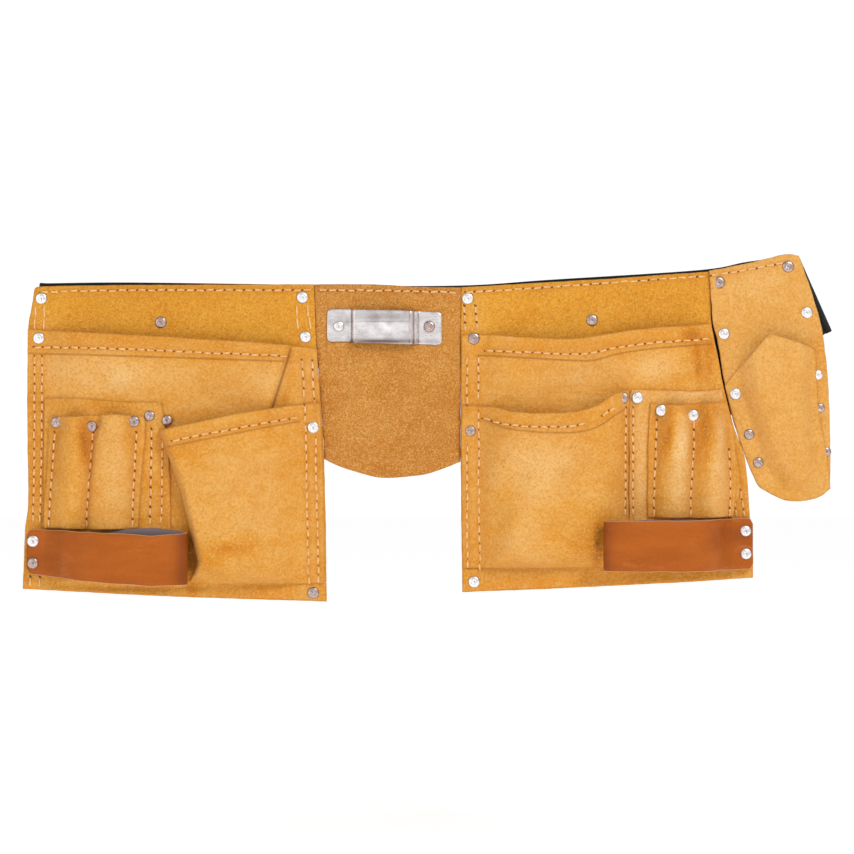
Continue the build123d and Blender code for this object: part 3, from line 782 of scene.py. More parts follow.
left_upper_crease = run((-250, -193), (-168.7, -194.3), (-63.6, -191.4))
left_upper = Sheet(
    loop([(-267.5, -40), (-267.5, -77), (-266.9, -128.8), (-269.1, -151), (-270.9, -194.4)],
         [(-168.7, -199.4), (-45.9, -203.6)],
         [(-46.8, -140), (-48.5, -84.4), (-51.4, -40), (-52.6, -17)],
         run((-267.1, -2.2), (-220, -4.9), (-168.7, -7.6), (-130, -10.2), (-94.7, -12.3),
             (-67.3, -14.8), (-52.6, -17))[::-1]),
    left_upper_depth, rows=[left_hem_row, *left_columns, *left_inner_columns],
    fold=(left_hem_foot, 1.1, 0.55), rivets=LEFT_RIM_RIVETS,
    relief=lambda x, z: furrow(x, z, left_upper_crease, deep=0.8, wide=0.9),
).build(
    "left_upper_pocket_leather", SUEDE, "left_pouch", ["left_upper_pocket"], cut=0.15,
    # among real patches: painted shadow under the left hammer strap's turn (amount 3.6), painted
    # shade beside the front pocket's left edge and right of the pleat, a painted highlight left of
    # the pleat, and painted light lifting the shade above the front pocket's mouth
    tone=[(-215, -36, 60, 13, -4, -0.65), (-125, -52, 44, 11, 12, -0.14),
          (-180, -10, 80, 6, -3, 0.5), (-90, -38, 16, 12, 20, -0.4), (-260, -110, 9, 60, 0, 0.35),
          (-158, -120, 9, 40, 0, 0.25), (-130, -198, 120, 6, -1, 0.25),
          (-56, -40, 10, 22, 0, -0.25), (-145.5, -169, 4.5, 20, 0, 3.6),
          (-75, -50, 3, 16, -16, 0.6)],
    # painted shade along the pleat's crease
    creases=[(run(*PLEAT)[3:], 1)])

# tools: a backing leather, then a strip sewn down into two tubes
left_patch_column = run((-166, -84), (-166.6, -120), (-167.4, -147))
left_patch_furrow = run((-165.8, -91), (-167.3, -147))
left_backing = Sheet(
    loop([(-230, -53.6), (-200, -55.8), (-167.4, -56.4)],
         [(-164.5, -72), (-161, -110), (-160, -184)], [(-243.5, -184)], [(-244, -152)],
         [(-254.4, -136), (-254.6, -53.4)]),
    lambda x, z: left_upper.top(x, z) + GAP, rows=[left_patch_column], deep=0,
    relief=lambda x, z: (0.25 * np.abs(ripple(x, z, 8, 0.5))
                         + furrow(x, z, left_patch_furrow, deep=0.6)),
).build(
    "left_tool_backing_leather", SUEDE, "left_pouch", ["left_tool_backing"],
    tone=[(-235, -58, 40, 8, 0, 0.3), (-165, -120, 6, 40, 0, 0.35), (-252, -100, 5, 40, 0, 0.2)])


def tubes(columns, arches, z_top, rivet_drop, height=8.6):
    """Rise of a strip between its sewn columns; arches are (peak shift, squareness) per tube."""
    def rise(x, z):
        total = 0 * x
        settle = 1 - 0.35 * soft_step((z_top - z) / 90)
        for a, b, (shift, square) in zip(columns, columns[1:], arches):
            xa = np.interp(-z, -a[:, 1], a[:, 0])
            xb = np.interp(-z, -b[:, 1], b[:, 0])
            flat = 1.1 + 3.9 * np.exp(-((z - z_top + 4) / rivet_drop) ** 2)
            t = np.clip((x - xa - flat) / (xb - xa - 2 * flat), 0, 1)
            total = total + height * settle * np.sin(np.pi * t ** shift) ** square
        return total
    return rise


left_tube_columns = [run((-245.8, -70), (-247.2, -95), (-249.2, -122), (-251.2, -149.6)),
                     run((-216.6, -70), (-218.4, -95), (-220.6, -122), (-222.4, -149.6)),
                     run((-185, -70), (-186, -95), (-187.3, -122), (-188.7, -149.6))]
left_strip_row = run((-174.4, -76), (-174.8, -110), (-175.6, -148))
left_tube_rise = tubes(left_tube_columns, [(1.15, 0.75), (0.72, 0.6)], -66.5, 9.0)
left_tubes = Sheet(
    loop([(-232, -66.9), (-218.5, -66.2), (-200, -65.6), (-179.8, -66.8)],
         [(-178.6, -75), (-181.5, -110), (-184.2, -147.6)],
         [(-188, -149.8), (-220, -150.2), (-252, -149.6)],
         [(-254.9, -146.6), (-252.6, -110), (-250.2, -66.4)]),
    lambda x, z: left_backing.top(x, z) + GAP + left_tube_rise(x, z),
    rows=left_tube_columns, deep=0, relief=lambda x, z: 0.3 * ripple(x, z, 12, 0.6, 12, 40) + 0.3,
).build(
    "left_tool_tube_leather", SUEDE, "left_pouch", ["left_tool_tubes"], step=1.7,
    # the dark blobs beside the sewn columns are painted shade
    tone=[(-200, -105, 14, 40, 0, -0.45), (-235, -112, 9, 36, 4, 0.1), (-232, -80, 8, 12, 20, 0.3),
          (-223.5, -86, 5, 17, 8, 1.5), (-245, -82, 4, 12, -3, 0.6), (-190, -84, 4, 18, -3, 0.35)])

# front pocket, folded along its left side
left_front_row = run((-158.5, -85.2), (-130, -79.4), (-100, -73.6), (-66, -67.6))
left_front_foot = run((-162.5, -89.4), (-109.8, -78.9), (-66, -70.6))
left_front_room = room([
    (6, (-176, 20), (-168.9, -77.4), (-154.6, -118), (-143.6, -161), (-140.6, -173),
     (-144.6, -187)),
    (17, (-100, -190.6), (-66, -190)),
    (46, (-66, -84), (-66, 20))], 11.8)


def left_front_depth(x, z):
    rise = left_front_room(x, z)
    waves = ripple(x, z, 21, 0.8, 30, 90) + blobs(x, z, [
        (-92, -118, 20, 42, 0, -2.2), (-134, -171, 10, 12, 0, 1.2)])
    return left_upper.top(x, z) + 0.1 + rise + soft_step(rise / 6) * waves


left_front = Sheet(
    loop([(-154.6, -118), (-147.6, -145), (-143.6, -161), (-140.9, -173), (-142.6, -181),
          (-145.6, -187)],
         [(-143, -190.4), (-100, -191), (-62, -190.8), (-47.2, -190.6)],
         [(-47.6, -140), (-49.2, -84.4), (-50.6, -56.6)],
         run((-168.9, -77.4), (-140, -71.2), (-116.9, -66.2), (-90, -61.6), (-62.9, -57.7),
             (-50.6, -56.6))[::-1]),
    left_front_depth, rows=[left_front_row, *left_inner_columns],
    fold=(left_front_foot, 1.2, 0.5), rivets=LEFT_RIM_RIVETS,
).build(
    "left_front_pocket_leather", SUEDE, "left_pouch", ["left_front_pocket"], cut=0.18,
    tone=[(-105, -130, 26, 30, 0, -0.25), (-150, -88, 14, 12, -30, 0.25), (-112, -163, 24, 5, 6, 1),
          (-120, -100, 20, 14, 0, -0.2), (-80, -160, 20, 26, 0, -0.2),
          (-138, -140, 10, 40, 14, -0.15), (-90, -70, 30, 5, 10, 0.3), (-132, -176, 10, 8, 0, 0.5),
          (-70, -150, 8, 60, 0, 0.15)])


# ---------------------------------------------------------------- hammer loops
STRAP_CORNER = 4.0       # radius of the corners at a strap's ends
STRAP_THICK, STRAP_CURL = 2.7, 0.25
TURN_FADE, RISE_FADE = 6.5, 9.0          # how far a strap's painted shade reaches along the belt
RISE_SHADE, RISE_DEPTH = 0.08, 14
HAMMER_PIVOT = (-0.010, -0.165)


def hammer_strap(name, plan, tops, feet, bodies, bend, turn, dark, rise, nodes):
    """A strap doubled back on itself; plan is its middle line as (x, depth) from the front end.

    tops and feet are the heights of its edges at equal steps along it. It has painted shade where
    it turns back, by the amount dark, and where it rises from the pouch.
    """
    line = run(*plan, step=1.6)
    share = np.linspace(0, 1, len(line))
    high = np.interp(share, np.linspace(0, 1, len(tops)), tops)
    low = np.interp(share, np.linspace(0, 1, len(feet)), feet)
    slope = np.gradient(line, axis=0)
    wave = 0.12 * np.sin(share * 61) + 0.1 * np.sin(share * 37 + 2)
    side = 1 if slope[2, 0] > 0 else -1
    travel = np.concatenate([[0], np.cumsum(np.hypot(*np.diff(line, axis=0).T))])
    near = np.clip(STRAP_CORNER - np.minimum(travel, travel[-1] - travel), 0, STRAP_CORNER)
    corner = STRAP_CORNER - np.sqrt(STRAP_CORNER ** 2 - near ** 2)
    high, low = high - corner, low + corner
    stations = [((x, -depth, z0 + w), (x, -depth, z1 + w), side * np.array([-dd, -dx, 0]))
                for (x, depth), (dx, dd), z1, z0, w in zip(line, slope, high, low, wave)]
    verts, faces, attributes = ribbon(stations, STRAP_THICK, STRAP_CURL)
    # painted shade where the strap turns back and where it rises from the pouch
    turn_shade = np.exp(-((verts[:, 0] / MM - turn) / TURN_FADE) ** 2)
    rise_shade = np.exp(-((verts[:, 0] / MM - rise) / RISE_FADE) ** 2)
    rise_shade *= -verts[:, 1] / MM > RISE_DEPTH
    attributes["tone"] = dark * turn_shade + RISE_SHADE * rise_shade
    start, end = ((x * MM, *HAMMER_PIVOT) for x in bend)
    piece(name, (verts, faces), BROWN, (*bodies, start, end), nodes, attributes)


hammer_strap(
    "left_hammer_strap",
    [(-267, 11.5), (-262, 11.5), (-254, 12.4), (-245, 17.5), (-235, 25.5), (-222, 31.3), (-205, 33),
     (-180, 33.1), (-162, 32.4), (-152.5, 30.4), (-147.9, 26.4), (-151.6, 21.9), (-160, 20),
     (-190, 20), (-225, 19.8), (-240, 17.3), (-250, 11.2), (-259, 8.4), (-266.8, 8.3)],
    [-150.6, -150.6, -151.6, -152.6, -154.2, -152.6, -149, -149.8, -154.8, -154.8, -151.6],
    [-183.4, -185.4, -187.6, -189.6, -191.2, -190.6, -188.6, -187.4, -186, -184.6, -183.8],
    ("left_pouch", "left_hammer"), (-260, -253.6), -149, 0.6, -248,
    ["left_hammer_tab", "left_hammer_loop"])


# ---------------------------------------------------------------- right pouch
RIGHT_BAND_RIVETS = [(59.1, 20.7), (151.4, 4.6)]
RIGHT_RIM_RIVETS = [(63.6, -9.2), (61.2, -77.6), (63.8, -189.6)]
right_top_row = run((57, 25.6), (79, 26.6), (127, 29.5), (180, 33.5), (236.5, 37.2))
right_floats = [run((56.6, 15.4), (57.4, -3.5)), run((64.8, 15.4), (66, -3))]
right_back = Sheet(
    loop([(53.9, -84.4), (54.3, -140), (55.1, -197.2)],
         [(110, -195.2), (171.7, -192.3), (225, -189.6), (270.8, -186.5)],
         [(270.8, -165), (268.8, -144), (265, -99), (257.1, -76), (249.2, -45), (244.4, -20),
          (240.2, 1.6), (239.6, 40.8)],
         [(225, 39.8), (200, 38), (161.2, 35.2), (120, 32.9), (79, 30.4), (54.4, 29.2)],
         [(54, -3.4)]),
    flat(BACK + 0.15, 2, 0.35), rows=[right_top_row], deep=0.35,
    rivets=RIGHT_BAND_RIVETS, pull=0.4,
).build(
    "right_back_leather", SUEDE_BAND, RIGHT_BLEND, ["right_band", "right_back_panel"], step=3.2,
    cut=0.12,
    tone=[(200, 18, 70, 16, 4, 0.3), (62, 10, 12, 40, 0, -0.2), (120, 8, 30, 10, 0, 0.12)])

right_hem_row = run((72, -18.2), (98, -19.4), (124.3, -20.6), (148.7, -20.1), (173.5, -15.2),
                    (197, -12.4), (220.1, -10.9), (238.6, -9.4))
right_hem_foot = run((67.5, -21.5), (106.2, -23.8), (144.9, -25.8), (158.5, -23.8), (173.9, -19.8),
                     (203, -16.1), (239, -13.2))
right_columns = [run((58.7, -22), (58.5, -66)), run((58.6, -87), (58.7, -140), (59.2, -180)),
                 run((66.9, -22), (67.2, -62), (67.3, -120), (68.2, -182))]
right_outer_columns = [run((256.5, -92), (260.6, -118), (264.8, -143)),
                       run((253, -100), (255.4, -120), (258.4, -142))]
right_pair = [run((175.3, -60), (175.2, -100), (175, -141)),
              run((181, -60), (181, -100), (181, -141))]
right_upper_crease = run((60, -179.6), (171.7, -179), (262, -178))
right_room = room([
    (26, (70, 60), (70, -179.6)),
    (16, (171.7, -178.6), (250, -178)),
    (16, (250, -138), (254, -122), (251.5, -99), (246.6, -76), (239.2, -45), (234.5, 0),
     (233, 60))], 7.6)


def right_upper_depth(x, z):
    """The pocket's swell, with a dip and a roll under its mouth."""
    rise = right_room(x, z)
    dip = -3.0 * np.exp(-((x - 217 - 0.10 * (z + 20)) / 8.5) ** 2) * soft_step((z + 52) / 22)
    waves = ripple(x, z, 31, 0.6) + dip + blobs(x, z, [(175, -32, 22, 14, 0, 1.6)])
    return SEAM + 0.15 + np.maximum(rise + soft_step(rise / 5) * waves, 0)


right_upper = Sheet(
    loop([(54.3, -84.4), (54.7, -140), (55.4, -196.6)],
         [(171.7, -191.7), (270.4, -186)],
         [(270.5, -165), (268.5, -144), (264.8, -99), (256.9, -76), (248.9, -45), (244, -20),
          (239.6, 2.1)],
         run((54.6, -6.6), (76.2, -6.6), (95, -7.9), (112.5, -9), (128, -9.5), (142.8, -9),
             (161.3, -6.2), (180, -3.2), (198.3, -1.2), (217.6, 0), (230, 1.2),
             (239.6, 2.1))[::-1]),
    right_upper_depth, rows=[right_hem_row, *right_columns, *right_outer_columns],
    fold=(right_hem_foot, 1.1, 0.55), rivets=RIGHT_RIM_RIVETS,
    relief=lambda x, z: furrow(x, z, right_upper_crease, deep=0.9, wide=0.9),
).build(
    "right_upper_pocket_leather", SUEDE, "right_pouch", ["right_upper_pocket"], cut=0.15,
    # among real patches: painted shade down the folds by its right side and painted light lifting
    # the shade above the front pocket
    tone=[(160, -34, 44, 9, 5, -0.45), (200, -30, 14, 12, 0, -0.35), (227, -20, 6, 22, 4, 0.7),
          (229.6, -31, 2.6, 17, 2, 1.3), (223, -5, 8, 6, 0, 0.9), (112, -50, 44, 8, 0, -0.16),
          (75, -30, 14, 16, 0, -0.15), (160, -188, 130, 7, 1.5, 0.45), (238, -25, 5, 18, 0, 1.2),
          (150, -14, 90, 5, 3, 0.45), (256, -130, 10, 30, 10, 0.4)])

BACKING_RIVET = (184.2, -53.2)
right_backing = Sheet(
    loop([(205, -47.6), (230.9, -48.1), (247.6, -46.6)],
         [(252, -70), (258.6, -99), (260.5, -124), (252, -141), (250.4, -173)], [(178, -173)],
         [(178.2, -100), (178.4, -52), (183.4, -46.6)]),
    lambda x, z: right_upper.top(x, z) + GAP, rows=right_pair[1:], rivets=[BACKING_RIVET],
    relief=lambda x, z: 0.25 * np.abs(ripple(x, z, 9, 0.5)),
).build(
    "right_tool_backing_leather", SUEDE, "right_pouch", ["right_tool_backing"],
    tone=[(220, -51, 30, 5, 0, -0.9), (186, -100, 6, 60, 0, -0.7)])

right_tube_columns = [run((198.6, -61), (197.6, -90), (196.6, -115), (196.4, -141.8)),
                      run((225.6, -61), (225.4, -90), (224, -115), (222.8, -141.8)),
                      run((248.8, -61), (252.2, -90), (253, -115), (252.4, -141.8))]
right_tube_rise = tubes(right_tube_columns, [(0.9, 0.7), (1.1, 0.75)], -57.0, 12.0)
right_tubes = Sheet(
    loop([(205, -58.2), (218, -58.4), (235, -57), (250.4, -56.2)],
         [(255.8, -80), (257.8, -105), (257.4, -124), (255.8, -141.2)],
         [(225, -141.8), (191.8, -141.4)],
         [(191.6, -110), (192.2, -80), (193.6, -57.2)]),
    lambda x, z: right_backing.top(x, z) + GAP + right_tube_rise(x, z),
    rows=right_tube_columns, deep=0, relief=lambda x, z: 0.3 * ripple(x, z, 13, 0.6, 12, 40) + 0.3,
).build(
    "right_tool_tube_leather", SUEDE, "right_pouch", ["right_tool_tubes"], step=1.7,
    # the dark blobs beside the rivets and down the sewn columns are painted shade
    tone=[(206, -80, 4, 19, -8, 1.7), (234, -79, 5.2, 24, -6, 1.6), (214, -106, 8, 40, 0, -0.8),
          (242, -116, 8, 34, 0, -0.7), (226, -60, 14, 5, 0, 0.8), (196, -66, 5, 10, 0, 0.4),
          (217, -82, 4, 18, 0, -0.6), (246, -76, 3, 16, -6, -0.6)])

right_front_row = run((70, -68), (87.3, -72.6), (112, -74.6), (136.7, -73.9), (146, -72))
right_front_row_end = run((157, -66.6), (163, -62), (168, -60.2))
right_front_foot = run((74, -69), (84.9, -74.9), (104.3, -77.8), (123.6, -78.8), (143, -77.8),
                       (156, -73.4), (166.2, -66.4), (175, -61.5))
right_front_room = room([
    (30, (70, 20), (70, -178.6)), (16, (178.4, -178.4)), (22, (177.6, -100), (177.4, 20))], 10.4)


def right_front_depth(x, z):
    rise = right_front_room(x, z)
    fold = -1.9 * np.exp(-(((x - 90) - 0.35 * (z + 120)) / 9) ** 2) * soft_step((-z - 78) / 30)
    ridge = 1.4 * np.exp(-(((x - 112) + 0.2 * (z + 120)) / 12) ** 2)
    low = blobs(x, z, [(128, -140, 14, 20, 0, -1.6)])
    waves = ripple(x, z, 41, 0.8, 30, 90) + fold + ridge + low
    return right_upper.top(x, z) + 0.1 + np.maximum(rise + soft_step(rise / 6) * waves, 0)


right_front = Sheet(
    loop([(54.5, -84.4), (54.8, -140), (55.3, -179.2)], [(110, -179.2), (177.8, -178.8)],
         [(177.8, -100), (178.2, -47.4)],
         run((54.9, -59), (70, -59.2), (80.7, -60.4), (91, -63.2), (114, -64.6), (136.9, -63.4),
             (152.4, -59.2), (163.5, -52.4), (172, -48.6), (178.2, -47.4))[::-1]),
    right_front_depth,
    rows=[right_front_row, right_front_row_end, *right_columns, right_pair[0]],
    fold=(right_front_foot, 1.2, 0.5), rivets=RIGHT_RIM_RIVETS,
).build(
    "right_front_pocket_leather", SUEDE, "right_pouch", ["right_front_pocket"], cut=0.18,
    seams=[right_front_row, *right_columns, right_pair[0]],
    # among real patches, the dark blobs at x 146 and 155.5 near z -160 are painted shadow beside
    # the right hammer strap's turn
    tone=[(105, -105, 30, 28, -10, -0.6), (84, -135, 9, 36, -14, 0.3),
          (140, -110, 26, 34, 0, -0.15), (95, -160, 26, 16, 0, -0.35), (150, -160, 24, 16, 0, 0.1),
          (115, -70, 40, 4, 0, 0.15), (160, -72, 12, 12, 0, 0.3), (128, -140, 12, 20, -10, 0.3),
          (155.5, -161, 5, 18, 0, 2.4), (146, -160, 12, 18, 0, 0.5)])

hammer_strap(
    "right_hammer_strap",
    [(269.8, 11.5), (262, 11.5), (254, 12.8), (247, 19), (240, 30), (230, 38.5), (216, 42.2),
     (195, 42.7), (172, 42.6), (162.5, 41), (158.9, 36), (162.5, 31.2), (171, 29.6), (200, 29.4),
     (226, 29.2), (238, 25), (246, 16), (255, 9), (262, 8.4), (269.4, 8.3)],
    [-142.2, -142.4, -142.8, -143, -143.2, -143.4, -143.4, -143, -142.8, -142.6, -142.6],
    [-180, -180.2, -180.2, -180.2, -180.2, -180, -179.8, -179.6, -179.6, -179.8, -180],
    ("right_pouch", "right_hammer"), (260.2, 253.8), 157, 0.45, 247,
    ["right_hammer_tab", "right_hammer_loop"])


# ---------------------------------------------------------------- holster
HOLSTER_TOP_RIVETS = [(245.6, 32.6), (249.3, -5.6), (297.0, 44.4), (310.8, 10.1)]
HOLSTER_RIVETS = [(257.6, -50.2), (267.8, -80.2), (274.6, -101.2)]
HOLSTER_EDGE_RIVETS = [(319.0, -36.1), (320.6, -60.7), (325.2, -93.2)]
holster_foot = [(328.3, -120.4), (320.4, -126.5), (305.3, -129.9), (293.6, -128.8), (281.1, -122.8),
                (273.8, -116.9), (266, -98.9)]
holster_row = run((239.4, 37.5), (262, 41), (280, 44.4), (294, 47.2))
holster_back = Sheet(
    loop([(266, 46.8), (294.1, 53.3), (305.2, 52.4)],
         [(315.6, 21.8), (323, -7), (327, -47.8), (328.2, -88.1), (328.3, -120.4)],
         run(*holster_foot),
         [(258, -76.2), (250, -43.7), (244.6, -11.1), (240.6, 5.3), (238.3, 41.2)]),
    lambda x, z: BACK + 0.2 + np.abs(ripple(x, z, 3, 0.35)) + 2.1 * soft_step((246 - x) / 4)
    * soft_step((z + 3) / 8),
    rows=[holster_row], deep=0.35, rivets=HOLSTER_TOP_RIVETS, pull=0.5,
).build(
    "holster_back_leather", SUEDE_PALE, HOLSTER_BLEND, ["holster_top", "holster_back"], step=3.0,
    tone=[(280, 30, 30, 16, 0, -0.2), (255, -20, 10, 20, 0, 0.15), (318, -26, 8, 26, 0, 0.6)])

holster_room = room([
    (15, (250, 30), (262.5, -50), (272.5, -80), (281.5, -106), (294, -121.5)),
    (12, (317, -120.5)), (13, (316.2, -90), (313.5, -40), (313, 30))], 9.5)
holster_front = Sheet(
    loop([(265, -25.2), (281.9, -5.8)], [(298, -10.4), (313.4, -15.5)],
         [(316.2, -17.2), (317, -21)],
         [(317.6, -38.9), (320.4, -70.3), (324.9, -92.5), (328, -120.2)],
         run(*[(x - 0.3, z + 0.4) for x, z in holster_foot]),
         run((265.9, -98.5), (258, -76.2), (249.8, -43.9))),
    lambda x, z: SEAM + 0.1 + np.maximum(
        holster_room(x, z) * (1 - 0.35 * soft_step((-z - 60) / 60)) + 0.5 * ripple(x, z, 51, 0.7)
        * soft_step(holster_room(x, z) / 5), 0),
    rivets=HOLSTER_RIVETS, pull=0.6,
).build(
    "holster_front_leather", SUEDE_PALE, "holster", ["holster_front"],
    tone=[(285, -30, 24, 12, 0, -0.1), (300, -100, 24, 20, 0, 0.12), (270, -60, 10, 14, 0, 0.12)])


# ---------------------------------------------------------------- centre panel and tape bracket
centre_row = run((-51.5, 26.7), (0, 26.5), (51.5, 25.2))
centre = Sheet(
    loop([(-48, -84.4), (-51, -40), (-53.1, -10.4), (-54.6, 31.2)],
         [(-20, 31.3), (0, 30.7), (20, 29.5), (54.2, 29)],
         [(53.9, -10), (53.8, -100.4)],
         [(40, -106), (25.5, -110.2), (0.7, -112.5), (-13.8, -110.9), (-35.9, -104),
          (-47.6, -98.4)]),
    flat(BACK + 0.1, 6, 0.3), rows=[centre_row], deep=0.35,
).build(
    "centre_flesh_leather", FLESH, "belt", ["centre_panel"], step=2.6, cut=0.08,
    tone=[(0, -60, 60, 60, 0, 0.1)])

BRIDGE = (-28.0, -25.2, 16.0, 22.4)      # where the bracket's bridge rises and comes down
BRIDGE_HEIGHT = 5.4
PLATE = 1.3
BRACKET_RIVETS = [(-36.5, 0.1), (30.6, -0.2)]


def bracket_depth(x, z):
    """Flat plates, and a bridge with a bevelled top and two crimps where it comes down."""
    rise = soft_step((x - BRIDGE[0]) / (BRIDGE[1] - BRIDGE[0]))
    fall = soft_step((BRIDGE[3] - x) / (BRIDGE[3] - BRIDGE[2]))
    bevel = 0.9 * soft_step((z - 3.2) / 9.0) * rise * fall
    crimps = sum(0.8 * np.exp(-((x - crimp + 0.3 * np.sin(z * 0.6)) / 0.7) ** 2)
                 for crimp in (17.2, 20.8))
    hollow = blobs(x, z, [(-4, -4.6, 15, 5, 0, -0.5)])
    dents = 0.12 * np.sin(x * 0.43 + z * 0.2) * np.cos(z * 0.31 + 1)
    return SEAM + 0.1 + BRIDGE_HEIGHT * rise * fall - bevel + crimps + hollow * rise * fall + dents


bracket = Sheet(
    loop([(-44.4, 12), (-41.8, 12.9)], [(-28.6, 12.9)], [(-25.2, 12.3)], [(0, 11.9), (16, 11.4)],
         [(36.6, 10.7)], [(39.2, 9.6), (39.9, 7)], [(40, -10.6)], [(39.2, -13), (36.6, -14)],
         [(22, -13.4)], [(16, -13.6), (-25.2, -12.3)], [(-28.6, -11.6)], [(-41.6, -11.6)],
         [(-44.6, -10.6), (-45.4, -7.8)], [(-45.3, 9.6)]),
    bracket_depth, thick=PLATE,
).build(
    "tape_bracket_plate", STEEL, "belt", ["tape_bracket"], step=0.8, cut=0.03,
    # painted shade lines at the bridge's bends, bevel and crimps and along its lower edge
    tone=[(-26.8, 0, 0.8, 40, 0, 1), (-5, 3.4, 19, 0.45, 0, 0.6), (-5, 7, 24, 2.8, 0, 0.42),
          (-5, -11.4, 30, 1.8, 0, 1.1), (16, 0, 0.5, 40, 0, 0.5), (19, 0, 0.6, 40, 0, 0.8),
          (22.4, 0, 0.6, 40, 0, 0.7)])


# ---------------------------------------------------------------- webbing
WEB_THICK = 2.0
WEB_HALF = 31.0          # half the webbing's width
FOLD_CENTRE = 3.5        # distance behind the origin of the axis that a tail folds about
FOLD_MIDDLE = 4.5
TAIL_LEVEL = 8.0
BAR_LEVEL = 11.2
WRAP = 3.2               # radius of the turn round the buckle's bar
BEND_DEPTH = 0.007


def strap(name, stations, ride, nodes):
    verts, faces, attributes = ribbon(stations, WEB_THICK)
    piece(name, (verts, faces), WEBBING, ride, nodes, attributes)


top_edge = run((-254.4, 32.2), (-195, 32.8), (-100, 31.6), (-30, 30.4), (56, 30.6), (120, 34.8),
               (231, 42), (266, 48), (301, 52.6), step=4)
low_edge = run((-260.6, -29), (-150, -28.5), (0, -31.5), (120, -28), (231, -20.5), (325.4, -5.4),
               step=4)
low_share, top_share = (np.linspace(0, 1, len(edge)) for edge in (low_edge, top_edge))
low_edge = np.column_stack([np.interp(top_share, low_share, low_edge[:, k]) for k in (0, 1)])
strap("waist_strap", [((a, -1, b), (c, -1, d), (0, -1, 0))
                      for (a, b), (c, d) in zip(low_edge, top_edge)], "belt", ["waist_webbing"])


def tail_strap(name, fold, origin, heading, run_out, back_run, body, nodes):
    """The strap's turn behind the belt, its tail, the turn round the buckle's bar and the end."""
    (ax, az), (bx, bz) = fold
    axis = np.array([bx - ax, bz - az]) / math.hypot(bx - ax, bz - az)
    out = np.array([-axis[1], axis[0]])
    out = out if out[0] * ax > 0 else -out
    forward, middle = np.array(heading), np.array(origin)
    sideways = np.array([-forward[1], forward[0]])
    ends = sorted(([ax, az], [bx, bz]), key=lambda p: float((np.array(p) - middle) @ sideways))
    stations = []
    half_turn = np.radians(np.linspace(-90, 90, 13))
    for angle in half_turn:
        y, reach = FOLD_CENTRE + FOLD_MIDDLE * math.sin(angle), FOLD_MIDDLE * math.cos(angle)
        low, high = (np.array(e) + out * reach for e in ends)
        normal = (out[0] * math.cos(angle), math.sin(angle), out[1] * math.cos(angle))
        stations.append(((low[0], y, low[1]), (high[0], y, high[1]), normal))

    def cross(distance, y, lean, turn):
        square = [middle + forward * distance + sideways * s for s in (-WEB_HALF, WEB_HALF)]
        low, high = (np.array(e) * (1 - turn) + q * turn for e, q in zip(ends, square))
        normal = (forward[0] * lean[0], lean[1], forward[1] * lean[0])
        stations.append(((low[0], y, low[1]), (high[0], y, high[1]), normal))

    for step in np.linspace(0.03, 1, 32):
        cross(run_out, TAIL_LEVEL, (0, 1), step)
    for angle in half_turn:
        cross(run_out + WRAP * math.cos(angle), BAR_LEVEL + WRAP * math.sin(angle),
              (-math.cos(angle), -math.sin(angle)), 1)
    for step in np.linspace(3, back_run, 20):
        cross(run_out - step, BAR_LEVEL + WRAP, (0, -1), 1)
    start, end = ((middle[0] * MM, y, middle[1] * MM) for y in (0.0, BEND_DEPTH))
    strap(name, stations, ("belt", body, start, end), nodes)


tail_strap("right_tail_strap", ((300.8, 51.2), (325.8, -5.4)), (313.2, 23.6), (-0.7873, -0.6166),
           165, 90, "right_tail", ["right_strap_fold", "right_strap_tail"])
tail_strap("left_tail_strap", ((-254.4, 32.2), (-260.6, -29)), (-256.3, 2), (0.9622, -0.2722),
           140, 45, "left_tail", ["left_strap_fold", "left_strap_tail"])

# ---------------------------------------------------------------- buckle and keeper
for name in ("buckle_socket", "buckle_plug", "buckle_prong_upper", "buckle_prong_lower",
             "strap_keeper"):
    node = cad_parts[name]
    node.data.materials.clear()
    node.data.materials.append(PLASTIC)
    bevel = node.modifiers.new("soft_edges", "BEVEL")
    bevel.width, bevel.segments, bevel.limit_method = 0.7 * MM, 3, "ANGLE"
    bevel.harden_normals = False
    node.data.polygons.foreach_set("use_smooth", [False] * len(node.data.polygons))

# ---------------------------------------------------------------- stitching
FLOAT_PITCH, FLOAT_SHARE = 9.5, 0.95     # long stitches over the hinges
sew("belt_stitches", "belt", (centre.top, centre_row), (holster_back.top, holster_row),
    (left_back.top, left_top_row), (right_back.top, right_top_row), pitch=7.1, share=0.82)
sew("belt_float_stitches", "belt", (left_back.top, *left_inner_floats), pitch=FLOAT_PITCH,
    share=FLOAT_SHARE, holed=False)
sew("left_hinge_stitches", LEFT_BLEND, (left_back.top, *left_floats), pitch=FLOAT_PITCH,
    share=FLOAT_SHARE, holed=False)
sew("right_hinge_stitches", RIGHT_BLEND, (right_back.top, *right_floats), pitch=6.4)
sew("left_pouch_stitches", "left_pouch",
    (left_upper.top, left_hem_row, *left_columns, *left_foot_columns, left_inner_columns[0][:18]),
    (left_front.top, left_inner_columns[0][20:]),
    (left_upper.top, left_inner_columns[1]),
    (left_front.top, left_inner_columns[2]),
    (left_backing.top, left_patch_column, left_strip_row),
    (left_tubes.top, *(line[5:] for line in left_tube_columns)),
    (left_front.top, left_front_row))
sew("right_pouch_stitches", "right_pouch",
    (right_upper.top, right_hem_row, right_columns[0]),
    (right_front.top, right_columns[1]),
    (right_upper.top, right_columns[2][:20]),
    (right_front.top, right_columns[2][24:]),
    (right_upper.top, *right_outer_columns),
    (right_front.top, right_pair[0]),
    (right_backing.top, right_pair[1]),
    (right_tubes.top, *(line[5:] for line in right_tube_columns[:2]), right_tube_columns[2][18:]),
    (right_front.top, right_front_row, right_front_row_end))

